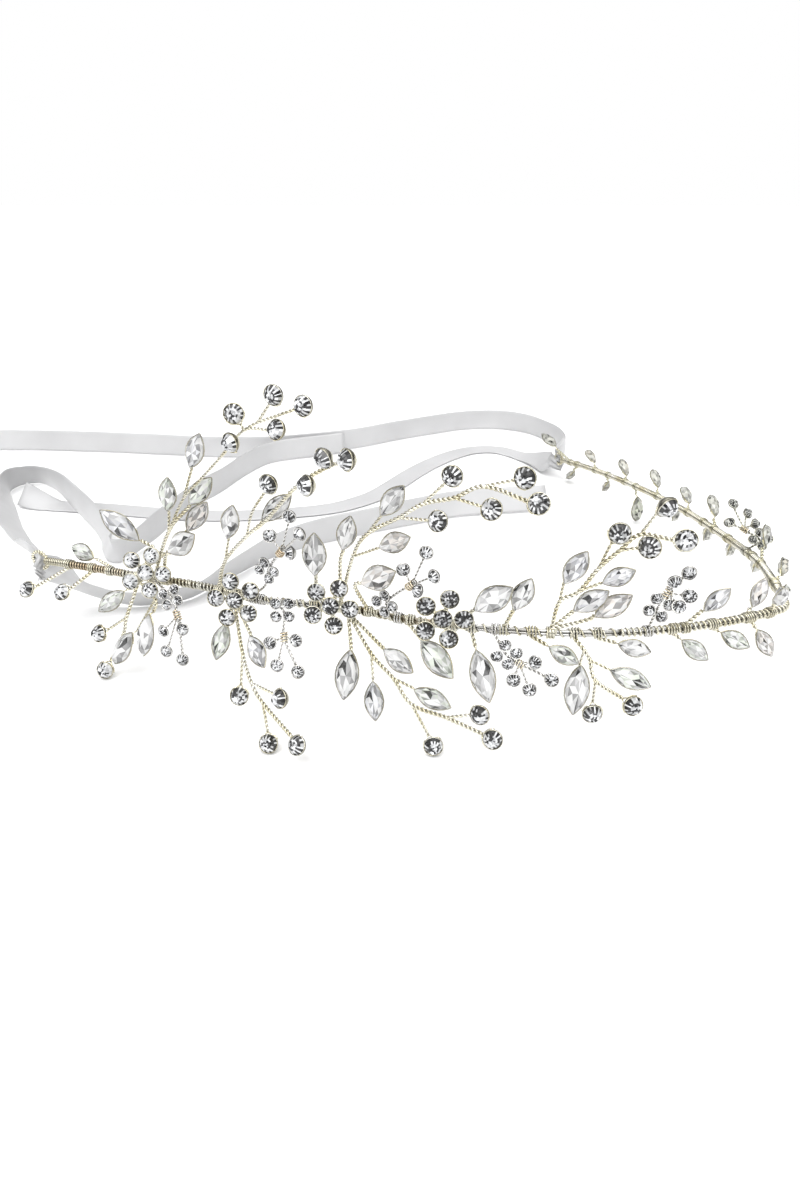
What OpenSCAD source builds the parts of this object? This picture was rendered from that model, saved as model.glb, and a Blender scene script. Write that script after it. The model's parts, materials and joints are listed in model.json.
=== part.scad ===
// Bridal rhinestone headband: an open wire band dressed with wire sprigs that carry
// crystals in cups, flowers, small bunches of stones and leaves, with ribbons to tie it.
// It stands on the tips of its lower sprigs. +Z is up and the fuller side faces -Y.

/* [Band] */
// Radius of the wound band wire
band_r = 1; // [0.9:0.05:1.1]
// Height of the band's plane above the table, at the origin
band_height = 20.4; // [20.4:0.2:23]
// How far the band's plane falls towards the back, in degrees
band_tilt = 6; // [5.5:0.5:6.5]
// Radius of the loop at each end, to the middle of its wire
loop_r = 2.4; // [2.2:0.1:3]
// Radius of the loop's wire
loop_wire_r = 0.6; // [0.5:0.05:0.7]

/* [Stems] */
// Radius of a twisted stem where it leaves the band
stem_r = 0.55; // [0.45:0.05:0.6]
// Radius of a twisted stem at its tip
tip_r = 0.4; // [0.3:0.05:0.45]
// Radius of the little wire coil in each bunch
coil_r = 1.1; // [0.9:0.1:1.3]

/* [Stones] */
// Diameter of the round stones at the sprig tips
round_d = 4.2; // [3.8:0.1:4.4]
// Diameter of the flowers' stones
petal_d = 3.8; // [3.4:0.1:3.8]
// Diameter of the stones in a bunch's square
bud_d = 2.2; // [2:0.1:2.4]
// Diameter of the stones on a bunch's twigs
berry_d = 2.6; // [2.2:0.1:2.8]
// Length of a small leaf stone
leaf_l = 9; // [7.5:0.5:9]
// Width of a small leaf stone
leaf_w = 4.2; // [3.4:0.2:4.2]
// Length of a leaf stone on the plain stretch at the right
leaflet_l = 7; // [6:0.5:7.5]
// Width of a leaf stone on the plain stretch at the right
leaflet_w = 3.6; // [3:0.2:3.8]
// Length of a large leaf stone
navette_l = 11.5; // [9.5:0.5:11.5]
// Width of a large leaf stone
navette_w = 5.2; // [4.2:0.2:5.2]

/* [Settings] */
// How far a cup's rim stands out round its stone
rim = 0.3; // [0.2:0.05:0.35]
// Distance from a flower's middle to the middle of a petal stone
petal_ring = 4.5; // [4.4:0.1:4.8]
// Distance from a bunch's middle to each stone of its square
bud_ring = 2.1; // [2:0.1:2.4]
// How far the stones look up from the level, in degrees
face_up = 20; // [10:5:30]

/* [Ribbons] */
// Width of the satin ribbons
ribbon_w = 10; // [9:0.5:10]
// Thickness of a ribbon's solid
ribbon_t = 1; // [0.8:0.1:1.2]

/* [Hidden] */
gap = 0.1;
up = [0, 0, 1];
// How much of the band's own turn the stones follow.
outwards = 0.2;
stone_h = 0.38;
cup_h = 0.36;

// The band, from its left end: each row is an arc's length and its turn to the left.
BAND_START = [-97, -43.5, -20];
BAND_ARCS = [
    [26, -6], [14, 6], [24, -14], [12, 22], [12, -2], [12, -18], [12, 14], [24, 10], [24, 18],
    [36, 20], [6, 44], [28, 6], [10, 10], [36, 4], [40, 8], [36, 6], [28, 10]
];

// The band's length, and the number of straight steps that its solid takes along it.
band_length = 380;
band_steps = 52;

// What a stem ends in.
FORK = 0;
ROUND = 1;
LEAF = 2;
NAVETTE = 3;
BERRY = 4;
PETAL = 5;
BUD = 6;
LEAFLET = 7;
COIL = 8;
BUDS = 9;
// Length and width of each kind of stone, in the order above.
STONE = [
    [0, 0], [round_d, round_d], [leaf_l, leaf_w], [navette_l, navette_w],
    [berry_d, berry_d], [petal_d, petal_d], [bud_d, bud_d], [leaflet_l, leaflet_w]
];

// A sprig is the place on the band where it is wound on, in mm from the left end, and its
// rows. A row is the row it forks from, or -1 for the band; its tip along the band, up and
// outwards from the foot, in mm; what it ends in; and how far that is turned, in degrees.
LEFT_END = [
    [8, [[-1, -10, -7, 6, ROUND, -42]]],
    [16, [[-1, -6.5, -6.5, 5, ROUND, -35]]],
    [22, [[-1, -11, 2, -3, LEAF, 10]]]
];
LEFT_SPRAY = [
    [32, [
        [-1, -6.5, -6.5, 4, LEAF, 0],
        [-1, -2, -10, 5, FORK, 0],
        [1, -9.5, -15.5, 7, ROUND, -30],
        [1, -3, -14.5, 6, FORK, 0],
        [3, -7, -24.15, 10, ROUND, 0],
        [-1, 8.5, -2.5, 5, FORK, 0],
        [5, -1, -17.5, 7.5, NAVETTE, -30],
        [5, 7, -12, 7, NAVETTE, -30],
        [-1, 5, 8, -0.8, FORK, 0],
        [8, -2, 14.5, 1.5, NAVETTE, 0],
        [-1, 13, 11, -1.3, FORK, 0],
        [10, 17.5, 18, -4, LEAF, 30]
    ]],
    [40, [
        [-1, 3, 8, 2.5, FORK, 0],
        [0, 10.5, 13.5, 4, NAVETTE, 0]
    ]]
];
UP_1 = [
    [37, [
        [-1, 7, 14.5, 1, FORK, 0],
        [0, 9.5, 25, 2, LEAF, 0],
        [0, 12.5, 23.5, 1, FORK, 0],
        [2, 18, 36, 1, LEAF, 0],
        [0, 16, 25, -2, LEAF, 0],
        [2, 18, 29, 1, FORK, 0],
        [5, 25, 35.5, 2, FORK, 0],
        [6, 30, 40, 4, ROUND, 0],
        [6, 31.5, 42, 2, FORK, 0],
        [8, 29.5, 45.5, 2, ROUND, 0],
        [8, 35, 44, 2, FORK, 0],
        [10, 40, 50.5, 2, ROUND, 0],
        [10, 47.5, 49, 3, ROUND, 20],
        [8, 41.5, 43.5, 4, ROUND, 0]
    ]]
];
UP_2 = [
    [57, [
        [-1, 4.5, 9.5, 2, FORK, 0],
        [0, 8, 20.5, 2, LEAF, 0],
        [0, 12, 17.5, 2, FORK, 0],
        [2, 15, 24, 3, FORK, 0],
        [3, 21, 32, 3, ROUND, 0],
        [2, 18, 24, -2.5, LEAF, 0],
        [2, 18, 22.5, 2, FORK, 0],
        [6, 27.5, 32, 3, FORK, 0],
        [7, 33, 34, 5, ROUND, 0],
        [7, 34.5, 37, 2, FORK, 0],
        [9, 36, 40, 3, ROUND, -20],
        [9, 43, 41, 5, ROUND, 0]
    ]]
];
DOWN_2 = [
    [62, [
        [-1, 0, -10.5, 6, LEAF, 0],
        [-1, 13, -9, 7, LEAF, 0],
        [-1, 7.5, -10.5, 7, FORK, 0],
        [2, 9.5, -20, 11, ROUND, 0],
        [2, 13.5, -15, 11, FORK, 0],
        [4, 25, -14, 13, ROUND, 0],
        [4, 17.5, -18.5, 12, FORK, 0],
        [6, 22, -26.05, 15.5, ROUND, 0],
        [6, 31, -23, 15.5, ROUND, 0]
    ]]
];
NAVETTES_3 = [
    [84, [[-1, 1.5, 15, 3, NAVETTE, 0]]],
    [97, [
        [-1, -1, 8, 4, FORK, 0],
        [0, 7, 13, 6, NAVETTE, 0]
    ]]
];
UP_3 = [
    [90, [
        [-1, 0, 11, -0.5, FORK, 0],
        [0, 2.5, 19.5, 0.5, LEAF, 0],
        [-1, 3.5, 13.5, 0.5, FORK, 0],
        [2, 15, 20, 4, LEAF, 0],
        [2, 7.5, 20, 2, FORK, 0],
        [4, 14, 29, 3, LEAF, 0],
        [4, 15, 25, 3, FORK, 0],
        [6, 24.5, 26, 5, ROUND, 0],
        [6, 20.5, 29, 4, FORK, 0],
        [8, 27, 36, 4.5, ROUND, 0],
        [8, 27, 31, 4, FORK, 0],
        [10, 35.5, 30, 6, ROUND, 0],
        [10, 33, 34, 4, FORK, 0],
        [12, 41.5, 37, 5, ROUND, 20],
        [12, 44.5, 32, 6, ROUND, 20]
    ]]
];
DOWN_3 = [
    [92, [
        [-1, 2.5, -7.5, 5, FORK, 0],
        [0, 2.5, -13, 7.5, NAVETTE, 0],
        [-1, 7.5, -8, 5, FORK, 0],
        [2, 9.5, -18, 8.5, LEAF, 0],
        [2, 13.5, -12, 7, FORK, 0],
        [4, 23.5, -14.5, 8, LEAF, 0],
        [4, 18.5, -17, 8.5, FORK, 0],
        [6, 24, -26.4, 9, ROUND, 0],
        [6, 26.5, -19, 8, FORK, 0],
        [8, 34.5, -16, 8, ROUND, 0],
        [8, 37.5, -22, 8, ROUND, 0],
        [-1, 9.5, -7, 3, FORK, 0],
        [11, 14.5, -8.5, 5, LEAF, 0]
    ]]
];
LEAVES_4 = [
    [108, [[-1, 9, -5, 6, NAVETTE, 0]]],
    [122, [[-1, 3.5, -9, 5, NAVETTE, 0]]],
    [118, [[-1, 9.3, 10.3, 4, NAVETTE, 0]]],
    [129, [[-1, 3.5, 10.5, 2, LEAF, 0]]]
];
UP_4 = [
    [139, [
        [-1, 1, 8, 1, FORK, 0],
        [0, 1.5, 12.5, 1, FORK, 0],
        [1, 3.5, 17, 2, LEAF, 0],
        [0, 4.5, 11, 2, FORK, 0],
        [3, 12, 16, 4, LEAFLET, 0],
        [3, 8, 16.5, 2, FORK, 0],
        [5, 9.5, 22, 3, FORK, 0],
        [6, 11, 25, 3, ROUND, 0],
        [5, 11.5, 21, 3, FORK, 0],
        [8, 17, 23, 5, ROUND, 20],
        [8, 15, 24.5, 3, FORK, 0],
        [10, 18.4, 31.4, 4, ROUND, 40],
        [10, 23.4, 24.2, 5, ROUND, 40],
        [-1, 5, 7, 1, FORK, 0],
        [13, 7.5, 9.5, 2, LEAF, 0],
        [-1, 7, 4, 1, FORK, 0],
        [15, 12, 8.5, 2, LEAF, 0]
    ]]
];
DOWN_4 = [
    [135, [[-1, 7, -4, 2, LEAFLET, 0]]],
    [144, [
        [-1, 2, -3, 2, FORK, 0],
        [0, 1.5, -6, 2, FORK, 0],
        [1, 1, -12, 3, NAVETTE, 0],
        [0, 3.5, -5.5, 2, FORK, 0],
        [3, 7.5, -7, 3, FORK, 0],
        [4, 12, -8.5, 4, LEAF, 0],
        [3, 5, -10, 3, FORK, 0],
        [6, 5, -18, 3, ROUND, 0],
        [6, 13.5, -16, 3, ROUND, 0]
    ]],
    [149, [[-1, 7.5, -2.5, 2, LEAFLET, 0]]]
];
RIGHT_LEAVES = [
    [169, [[-1, 5, 7.5, 2, LEAFLET, 0]]],
    [166, [[-1, 4, -4, 3, LEAFLET, 0]]],
    [176, [[-1, 4, -3, 3, LEAFLET, 0]]],
    [186, [[-1, 2.5, 5.5, -1, LEAFLET, 0]]],
    [187, [[-1, 2, -5.5, 3, LEAFLET, 0]]],
    [193, [[-1, -3, 7, 3, LEAFLET, 0]]],
    [214, [[-1, 4, -3, 2.5, LEAFLET, 0]]]
];
FAR_UPPER = [
    [216, [[-1, 5, 2.5, 1.5, LEAFLET, 40]]],
    [232, [[-1, 6.5, 5.5, 1, LEAFLET, 30]]],
    [266, [[-1, 7, 4.5, 1, LEAF, 0]]],
    [286, [[-1, 6.5, 3, 1, LEAF, 0]]],
    [309, [[-1, 6, 4, 1, LEAF, 0]]],
    [333, [[-1, 5, 3.5, 1, LEAF, 0]]],
    [356, [[-1, 6.5, 3, 1, LEAF, 0]]],
    [374, [[-1, 12, 6.5, -3.5, LEAF, 0]]]
];
FAR_LOWER = [
    [239, [[-1, 4.5, -4.5, 2.5, LEAF, 0]]],
    [256, [[-1, 4.5, -5, 2.5, LEAF, 0]]],
    [274, [[-1, 3.5, -5, 2.5, LEAF, 0]]],
    [297, [[-1, 4, -5, 2.5, LEAF, 0]]],
    [325, [[-1, 2, -9.35, 2, NAVETTE, 0]]],
    [346, [[-1, 5.5, -6, 2, LEAF, 0]]],
    [369, [[-1, 8, -6.5, 2, LEAF, 0]]]
];
BUNCH_1 = [
    [38, [
        [-1, 8, -1, 6, BUDS, 0],
        [0, 10.5, -4.5, 8, COIL, 0],
        [1, 6, -9.5, 8, BERRY, 0],
        [1, 12.5, -7.5, 9, BERRY, 0],
        [1, 7.5, -14, 10, BERRY, 0],
        [1, 12, -15.5, 10, BERRY, 0]
    ]]
];
BUNCH_2 = [
    [68, [
        [-1, 4.5, 5, 1, FORK, 0],
        [0, 8, 11, 4, BUDS, 0],
        [1, 12.5, 16.5, 5, COIL, 0],
        [2, 10.5, 20.5, 6, BERRY, 0],
        [2, 15.5, 25.5, 5, BERRY, 0],
        [2, 19.5, 23, 7, BERRY, 0],
        [2, 18.5, 19, 9, BERRY, 0]
    ]]
];
BUNCH_3 = [
    [70, [
        [-1, 9, 1.5, 5, BUDS, 0],
        [0, 10, -4.5, 7, COIL, 0],
        [1, 7, -6, 8, BERRY, 0],
        [1, 13.5, -4.5, 7, BERRY, 0],
        [1, 9, -11, 9, BERRY, 0],
        [1, 14.5, -11.5, 9, BERRY, 0]
    ]]
];
BUNCH_4 = [
    [105, [
        [-1, -1.5, 5, 3, BUDS, 0],
        [0, 5, 11, 4, COIL, 0],
        [1, 8.5, 19.5, 4, BERRY, 0],
        [1, 11.5, 15.5, 6, BERRY, 0],
        [1, 3.5, 15, 5, BERRY, 0],
        [1, 8.5, 11.5, 7, BERRY, 0]
    ]]
];
BUNCH_5 = [
    [127, [
        [-1, 3, -3, 5, BUDS, 0],
        [0, 6, -5, 5, COIL, 0],
        [1, 9.5, -3.5, 6, BERRY, 0],
        [1, 5, -8.5, 6, BERRY, 0],
        [1, 8.5, -10.5, 6, BERRY, 0],
        [1, 13, -7.5, 6, BERRY, 0]
    ]]
];
BUNCH_6 = [
    [160, [
        [-1, 0.5, 7, 2, BUDS, 0],
        [0, 2, 10, 2, COIL, 0],
        [1, 2.5, 13.5, 3, BERRY, 0],
        [1, 5.5, 15, 3, BERRY, 0],
        [1, 6, 10, 4, BERRY, 0],
        [1, 3.5, 8, 5, BERRY, 0]
    ]]
];
BUNCH_7 = [
    [243, [
        [-1, -1.5, 4, 2.5, BUDS, 0],
        [0, 1.5, 6, -1, COIL, 0],
        [1, 8, 11, -3, BERRY, 0],
        [1, 7, 8.5, 1, BERRY, 0],
        [1, 5, 6.5, -4, BERRY, 0],
        [1, 4.5, 6.5, 2.5, BERRY, 0]
    ]]
];

// Each flower's place on the band, its middle along, up and outwards from there, how far
// its first petal is turned from the level, and how far the whole flower is turned.
FLOWERS = [
    [34, 4, 4, 4.4, 68, 0],
    [63, 3.5, 1.4, 4.8, 32, 0],
    [88, 1, 2.4, 4.4, 64, 0],
    [117, -0.5, 4, 5, 0, 0]
];

// The ribbons' routes, from the loop that each is tied to: x, y and z of the ribbon's middle,
// and how far its upper edge leans to the right of the way that it runs, in degrees.
LEFT_LONG = [
    [-102, -40, 25.5, 0], [-109.5, -26.5, 20.5, -40], [-119, -10.5, 17, -50],
    [-129, 5.5, 14, -50], [-137.5, 21, 11.5, -42], [-144, 33.5, 9.5, -40],
    [-151, 46.5, 8, -38], [-158, 61, 6.5, -32], [-164, 74, 5.5, -20], [-167, 84, 5.3, 5],
    [-165, 90.5, 5, 22], [-160, 93, 5, 24], [-153, 88.5, 5.3, 14], [-145.5, 80.5, 6.2, 5],
    [-137.5, 70, 7, -7], [-130, 59.5, 7, -10], [-124, 51, 7, -10], [-118, 43, 6.6, -12],
    [-113, 36, 6, -14], [-108, 28.5, 5.5, -22], [-104, 20, 5.5, -30], [-101, 12, 5.5, -15],
    [-98, 8.5, 5.5, 15], [-95, 10, 5.5, 18], [-93, 18, 5.5, 10], [-90, 30, 6, 4],
    [-87, 42, 6.8, 4], [-84, 54, 7, 4], [-81, 66, 6.8, 2], [-76, 85, 5.5, 0],
    [-70, 106, 5.5, 0], [-63, 121.5, 5.5, 0], [-54, 129, 5.5, 0], [-43, 134, 5.5, 0],
    [-28, 141, 5.5, 0]
];
LEFT_SHORT = [
    [-101.5, -40, 21.5, 0], [-101.5, -32, 17, 45], [-98, -28, 11, 50], [-91, -26, 6.5, 42],
    [-82, -25.8, 4.4, 41], [-72, -23.8, 4.3, 41], [-64.5, -20, 4.4, 39],
    [-59, -10.8, 4.8, 31], [-53, 0, 5, 24], [-47, 9.7, 5.2, 16], [-37, 20, 5.5, 8],
    [-24, 29.5, 5.5, 0],
    [-9, 38, 5.5, 0], [6, 47, 5.5, -10],
    [22, 55, 5.5, -20], [40, 59, 5.5, -25], [58, 62, 5.5, -25]
];
FAR_LONG = [
    [68.5, 103, 11.5, 0], [72, 111, 10.5, 0], [77, 126, 8, 0], [78, 144, 6.5, 0],
    [75, 161, 5.5, 0], [67, 176, 5.5, 0], [53, 185, 5.5, 0], [35, 184, 5.5, 0],
    [17, 175, 5.5, 0], [-2, 163, 5.5, 0], [-22, 149, 5.5, 0], [-43, 140, 5.5, 0],
    [-66, 134, 5.5, 0], [-92, 134, 5.5, 0], [-118, 138, 5.5, 0], [-146, 142, 5.5, 0],
    [-176, 145, 5.5, 0], [-206, 146, 5.5, 0]
];
FAR_SHORT = [
    [66.5, 102.5, 8.5, 0], [66, 110, 5.5, 30], [64, 122, 3.5, 60], [57, 136, 0.8, 88],
    [47, 145, 0.8, 88], [35, 144, 0.8, 88], [24, 135, 0.8, 88], [14, 122, 0.8, 88],
    [5, 107, 0.8, 88], [-3, 91, 0.8, 88], [-12, 76, 0.8, 88], [-27, 63, 0.8, 88],
    [-46, 57, 0.8, 88], [-69, 54, 0.8, 88], [-92, 56, 0.8, 88], [-115, 61, 0.8, 88],
    [-132, 64, 0.8, 88], [-141, 65.5, 0.8, 88], [-149, 66.5, 3, 60], [-154.5, 67.5, 5.2, 25]
];

function unit(v) = v / norm(v);
function across(v, n) = v - n * (v * n);

// Point and heading at a distance along one arc that starts at a point and heading.
function arc_radius(arc) = arc[0] * 180 / (PI * arc[1]);
function along_arc(start, arc, far) =
    let (r = arc_radius(arc), h = start[2], e = h + arc[1] * far / arc[0])
    [start[0] + r * (sin(e) - sin(h)), start[1] - r * (cos(e) - cos(h)), e];
function arc_start(i) =
    i == 0 ? BAND_START : along_arc(arc_start(i - 1), BAND_ARCS[i - 1], BAND_ARCS[i - 1][0]);
ARC_STARTS = [for (i = [0 : len(BAND_ARCS) - 1]) arc_start(i)];

// Point and heading in the band's own plane, a distance from the left end.
function in_plane(far, i = 0) =
    far <= BAND_ARCS[i][0] || i == len(BAND_ARCS) - 1
        ? along_arc(ARC_STARTS[i], BAND_ARCS[i], far)
        : in_plane(far - BAND_ARCS[i][0], i + 1);
function band_point(far) =
    let (p = in_plane(far))
    [p[0], p[1] * cos(band_tilt), band_height - p[1] * sin(band_tilt)];
function band_along(far) = let (h = in_plane(far)[2]) [cos(h), sin(h), 0];
function band_out(far) = let (h = in_plane(far)[2]) [sin(h), -cos(h), 0];

// A point near the band, given along it, up and outwards from a place on it.
function near_band(far, a, u, o) =
    band_point(far) + a * band_along(far) + u * up + o * band_out(far);
function row_point(sprig, i) =
    let (row = sprig[1][i]) near_band(sprig[0], row[1], row[2], row[3]);

// Where a stem starts: at its fork, or just clear of the band's surface.
function surface_start(far, tip) =
    let (
        along = band_along(far),
        way = unit(tip - band_point(far)),
        side = unit(across(way, along))
    )
    band_point(far) + side * (band_r + gap + stem_r * abs(way * along) + 0.05);
function stem_start(sprig, i) =
    let (from = sprig[1][i][0])
    from < 0 ? surface_start(sprig[0], row_point(sprig, i)) : row_point(sprig, from);

// The way that a stone faces: to the front, a little outwards and up, turned about the upright.
function facing(far, turn) =
    let (h = in_plane(far)[2] * outwards + turn)
    [sin(h) * cos(face_up), -cos(h) * cos(face_up), sin(face_up)];

// The axes of a stone: along it, across it and out of its face.
function axes_of(long, face) =
    let (x = unit(long), z = unit(across(face, x)))
    [x, cross(z, x), z];
function place(points, at, axes) =
    [for (p = points) at + p[0] * axes[0] + p[1] * axes[1] + p[2] * axes[2]];

// Outlines of eight points: a round stone's, and a leaf stone's with its two sharp ends.
function round_outline(d) = [for (i = [0 : 7]) [cos(45 * i + 22.5), sin(45 * i + 22.5)] * d / 2];
function leaf_outline(l, w) = [
    for (i = [0 : 7])
        let (x = [1, 0.5, 0, -0.5, -1, -0.5, 0, 0.5][i], side = i < 4 ? 1 : -1)
        [x * l / 2, side * (1 - x * x) * w / 2]
];
function pointed(kind) = kind == LEAF || kind == NAVETTE || kind == LEAFLET;
function outline(kind, grow) =
    let (l = STONE[kind][0] + 2 * grow, w = STONE[kind][1] + 2 * grow)
    pointed(kind) ? leaf_outline(l + grow, w) : round_outline(w);
function level(flat, z, scale = 1) = [for (p = flat) [p[0] * scale, p[1] * scale, z]];

// A flat-backed cut stone: its girdle at the back, eight slanting facets and a table.
function stone_points(kind) =
    let (h = STONE[kind][1] * stone_h)
    concat(level(outline(kind, 0), gap), level(outline(kind, 0), gap + h, 0.58));
// The cup behind it, from its rim back to its foot.
function cup_points(kind) =
    let (h = STONE[kind][1] * cup_h)
    concat(level(outline(kind, rim), 0), level(outline(kind, rim), -h, 0.5));

// The solid that wraps a set of points.
module wrap(points) {
    hull() polyhedron(points, [[for (i = [0 : len(points) - 1]) i]]);
}

// The solid through a list of rings that all have the same number of points.
module sweep(rings) {
    n = len(rings[0]);
    last = (len(rings) - 1) * n;
    sides = [for (i = [0 : len(rings) - 2], k = [0 : n - 1])
        let (a = i * n + k, b = i * n + (k + 1) % n)
        each [[a, a + n, b + n], [a, b + n, b]]];
    first_cap = [[for (k = [0 : n - 1]) k]];
    last_cap = [[for (k = [n - 1 : -1 : 0]) last + k]];
    polyhedron([for (ring = rings) each ring], concat(first_cap, sides, last_cap));
}

// The ways that a line of points runs, and a side for each that never flips over.
function ways(points) =
    let (n = len(points) - 1)
    [for (i = [0 : n]) unit(points[min(i + 1, n)] - points[max(i - 1, 0)])];
function carried(all_ways, side, i = 0) =
    let (s = unit(across(side, all_ways[i])))
    i == len(all_ways) - 1 ? [s] : concat([s], carried(all_ways, s, i + 1));

// A round wire through a line of points, narrowing evenly from one radius to another.
module wire(points, r1, r2, corners) {
    n = len(points) - 1;
    along = ways(points);
    sides = carried(along, abs(along[0] * up) > 0.9 ? [1, 0, 0] : up);
    ring = [for (k = [0 : corners - 1]) [cos(360 * k / corners), sin(360 * k / corners)]];
    sweep([for (i = [0 : n])
        place(level(ring, 0, r1 + (r2 - r1) * i / n), points[i],
            [sides[i], cross(along[i], sides[i]), along[i]])]);
}

// The axes of what ends a row: along the stem, and square to it out of the stone's face.
function stone_axes(sprig, i) =
    let (
        row = sprig[1][i],
        at = row_point(sprig, i),
        way = row[4] == BUDS ? row_point(sprig, i + 1) - at : at - stem_start(sprig, i)
    )
    axes_of(way, facing(sprig[0], row[5]));

// How far the stem runs behind the back of a stone.
function stem_depth(kind) = kind == BUDS ? 0.8 : max(0.6, STONE[kind][1] * cup_h * 0.6);
function stone_middle(sprig, i) =
    row_point(sprig, i) + stone_axes(sprig, i)[2] * stem_depth(sprig[1][i][4]);

// Where a row's stem ends: at the fork, behind the stone, or in the foot of a leaf's cup.
function stem_end(sprig, i) =
    let (kind = sprig[1][i][4], at = row_point(sprig, i))
    pointed(kind)
        ? at - stone_axes(sprig, i)[0] * (STONE[kind][0] / 2 - 1)
        : at;

// The last row that forks from a row, or -1, and the run of stem that goes on through it.
function next_row(sprig, i) =
    let (rows = [for (k = [0 : len(sprig[1]) - 1]) if (sprig[1][k][0] == i) k])
    len(rows) == 0 ? -1 : rows[len(rows) - 1];
function run_of(sprig, i) =
    i < 0 ? [] : concat([stem_end(sprig, i)], run_of(sprig, next_row(sprig, i)));
function starts_run(sprig, i) =
    let (from = sprig[1][i][0])
    from < 0 || next_row(sprig, from) != i;
function run_start(sprig, i) =
    let (from = sprig[1][i][0])
    from < 0 ? stem_start(sprig, i) : stem_end(sprig, from);

// The middles of the four stones of a bunch's square.
function square_points(sprig, i) =
    let (axes = stone_axes(sprig, i), turn = 45)
    [for (k = [0 : 3]) stone_middle(sprig, i)
        + (axes[0] * cos(90 * k + turn) + axes[1] * sin(90 * k + turn)) * bud_ring];

module cup(kind, at, axes) {
    wrap(place(cup_points(kind), at, axes));
}

module stone(kind, at, axes) {
    wrap(place(stone_points(kind), at, axes));
}

// The plate behind a bunch's square of stones: a square with its corners cut off.
module square_plate(sprig, i) {
    turn = 45;
    far = bud_ring + bud_d / 2 + rim;
    near = bud_d / 2 - rim;
    corners = [for (k = [0 : 3], side = [-1, 1])
        let (a = 90 * k + turn)
        [far * cos(a) - side * near * sin(a), far * sin(a) + side * near * cos(a)]];
    wrap(place(concat(level(corners, 0), level(corners, -1, 0.7)), stone_middle(sprig, i),
        stone_axes(sprig, i)));
}

module coil(sprig, i) {
    end = row_point(sprig, i);
    way = unit(end - run_start(sprig, i));
    wire([end - way * 1.4, end + way * 1.4], coil_r, coil_r, 6);
}

// The metal of a group of sprigs: stems, cups and coils, soldered into one piece each.
module sprig_wire(group, metal) {
    color(metal)
    for (sprig = group) {
        for (i = [0 : len(sprig[1]) - 1]) {
            kind = sprig[1][i][4];
            if (starts_run(sprig, i))
                wire(concat([run_start(sprig, i)], run_of(sprig, i)),
                    sprig[1][i][0] < 0 ? stem_r : tip_r, tip_r, 5);
            if (kind == BUDS) square_plate(sprig, i);
            else if (kind == COIL) coil(sprig, i);
            else if (kind != FORK) cup(kind, stone_middle(sprig, i), stone_axes(sprig, i));
        }
    }
}

module sprig_stones(group) {
    color("gainsboro")
    for (sprig = group) {
        for (i = [0 : len(sprig[1]) - 1]) {
            kind = sprig[1][i][4];
            axes = stone_axes(sprig, i);
            if (kind == BUDS) for (p = square_points(sprig, i)) stone(BUD, p, axes);
            else if (kind != FORK && kind != COIL) stone(kind, stone_middle(sprig, i), axes);
        }
    }
}

// A flower's middle, its axes, and the middles of its six stones.
function flower_middle(f) = near_band(f[0], f[1], f[2], f[3]);
function flower_axes(f) =
    let (face = facing(f[0], f[5])) axes_of(cross(up, face), face);
function flower_points(f) =
    let (axes = flower_axes(f))
    concat([flower_middle(f)], [for (k = [0 : 4])
        flower_middle(f) + (axes[0] * cos(72 * k + f[4]) + axes[1] * sin(72 * k + f[4])) * petal_ring]);

// Six cups joined by a plate behind them, on a stem from the band.
module flower_setting(f) {
    axes = flower_axes(f);
    back = flower_middle(f) - axes[2] * 0.6;
    plate = round_outline(1.6 * petal_ring);
    color("lightgoldenrodyellow") {
        wire([surface_start(f[0] + f[1], back), back], stem_r, stem_r, 5);
        wrap(place(concat(level(plate, -0.4), level(plate, -0.9)), flower_middle(f), axes));
        for (p = flower_points(f)) cup(PETAL, p, axes);
    }
}

module flower_stones(f) {
    color("silver")
    for (p = flower_points(f)) stone(PETAL, p, flower_axes(f));
}

// A loop past one end of the band, upright, for the ribbons to be tied through.
module end_loop(far, way) {
    heading = band_along(far) * way;
    start = band_point(far);
    turns = [for (k = [0 : 11]) 12 + k * 336 / 11];
    wire([for (a = turns) start + heading * loop_r * (1 - cos(a)) + up * loop_r * sin(a)],
        loop_wire_r, loop_wire_r, 6);
}

// The wound band, and its two loops.
module band_wire() {
    color("palegoldenrod") {
        wire([for (i = [0 : band_steps]) band_point(band_length * i / band_steps)],
            band_r, band_r, 8);
        end_loop(0.5, -1);
        end_loop(band_length - 0.5, 1);
    }
}

// A ribbon: one eight-sided flat section swept along its route, narrow at the knot.
function ribbon_section(w) =
    let (a = w / 2, b = w / 2 - 0.3, t = ribbon_t / 2)
    [[a, t / 2], [b, t], [-b, t], [-a, t / 2], [-a, -t / 2], [-b, -t], [b, -t], [a, -t / 2]];

module ribbon(route) {
    line = [for (row = route) [row[0], row[1], row[2]]];
    along = ways(line);
    color("whitesmoke")
    sweep([for (i = [0 : len(line) - 1])
        let (
            side = unit(cross(along[i], up)),
            high = cross(side, along[i]),
            lean = route[i][3],
            wide = high * cos(lean) + side * sin(lean),
            w = ribbon_w * min(1, 0.3 + i * 0.4)
        )
        place(level(ribbon_section(w), 0), line[i], [wide, cross(along[i], wide), along[i]])]);
}

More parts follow.
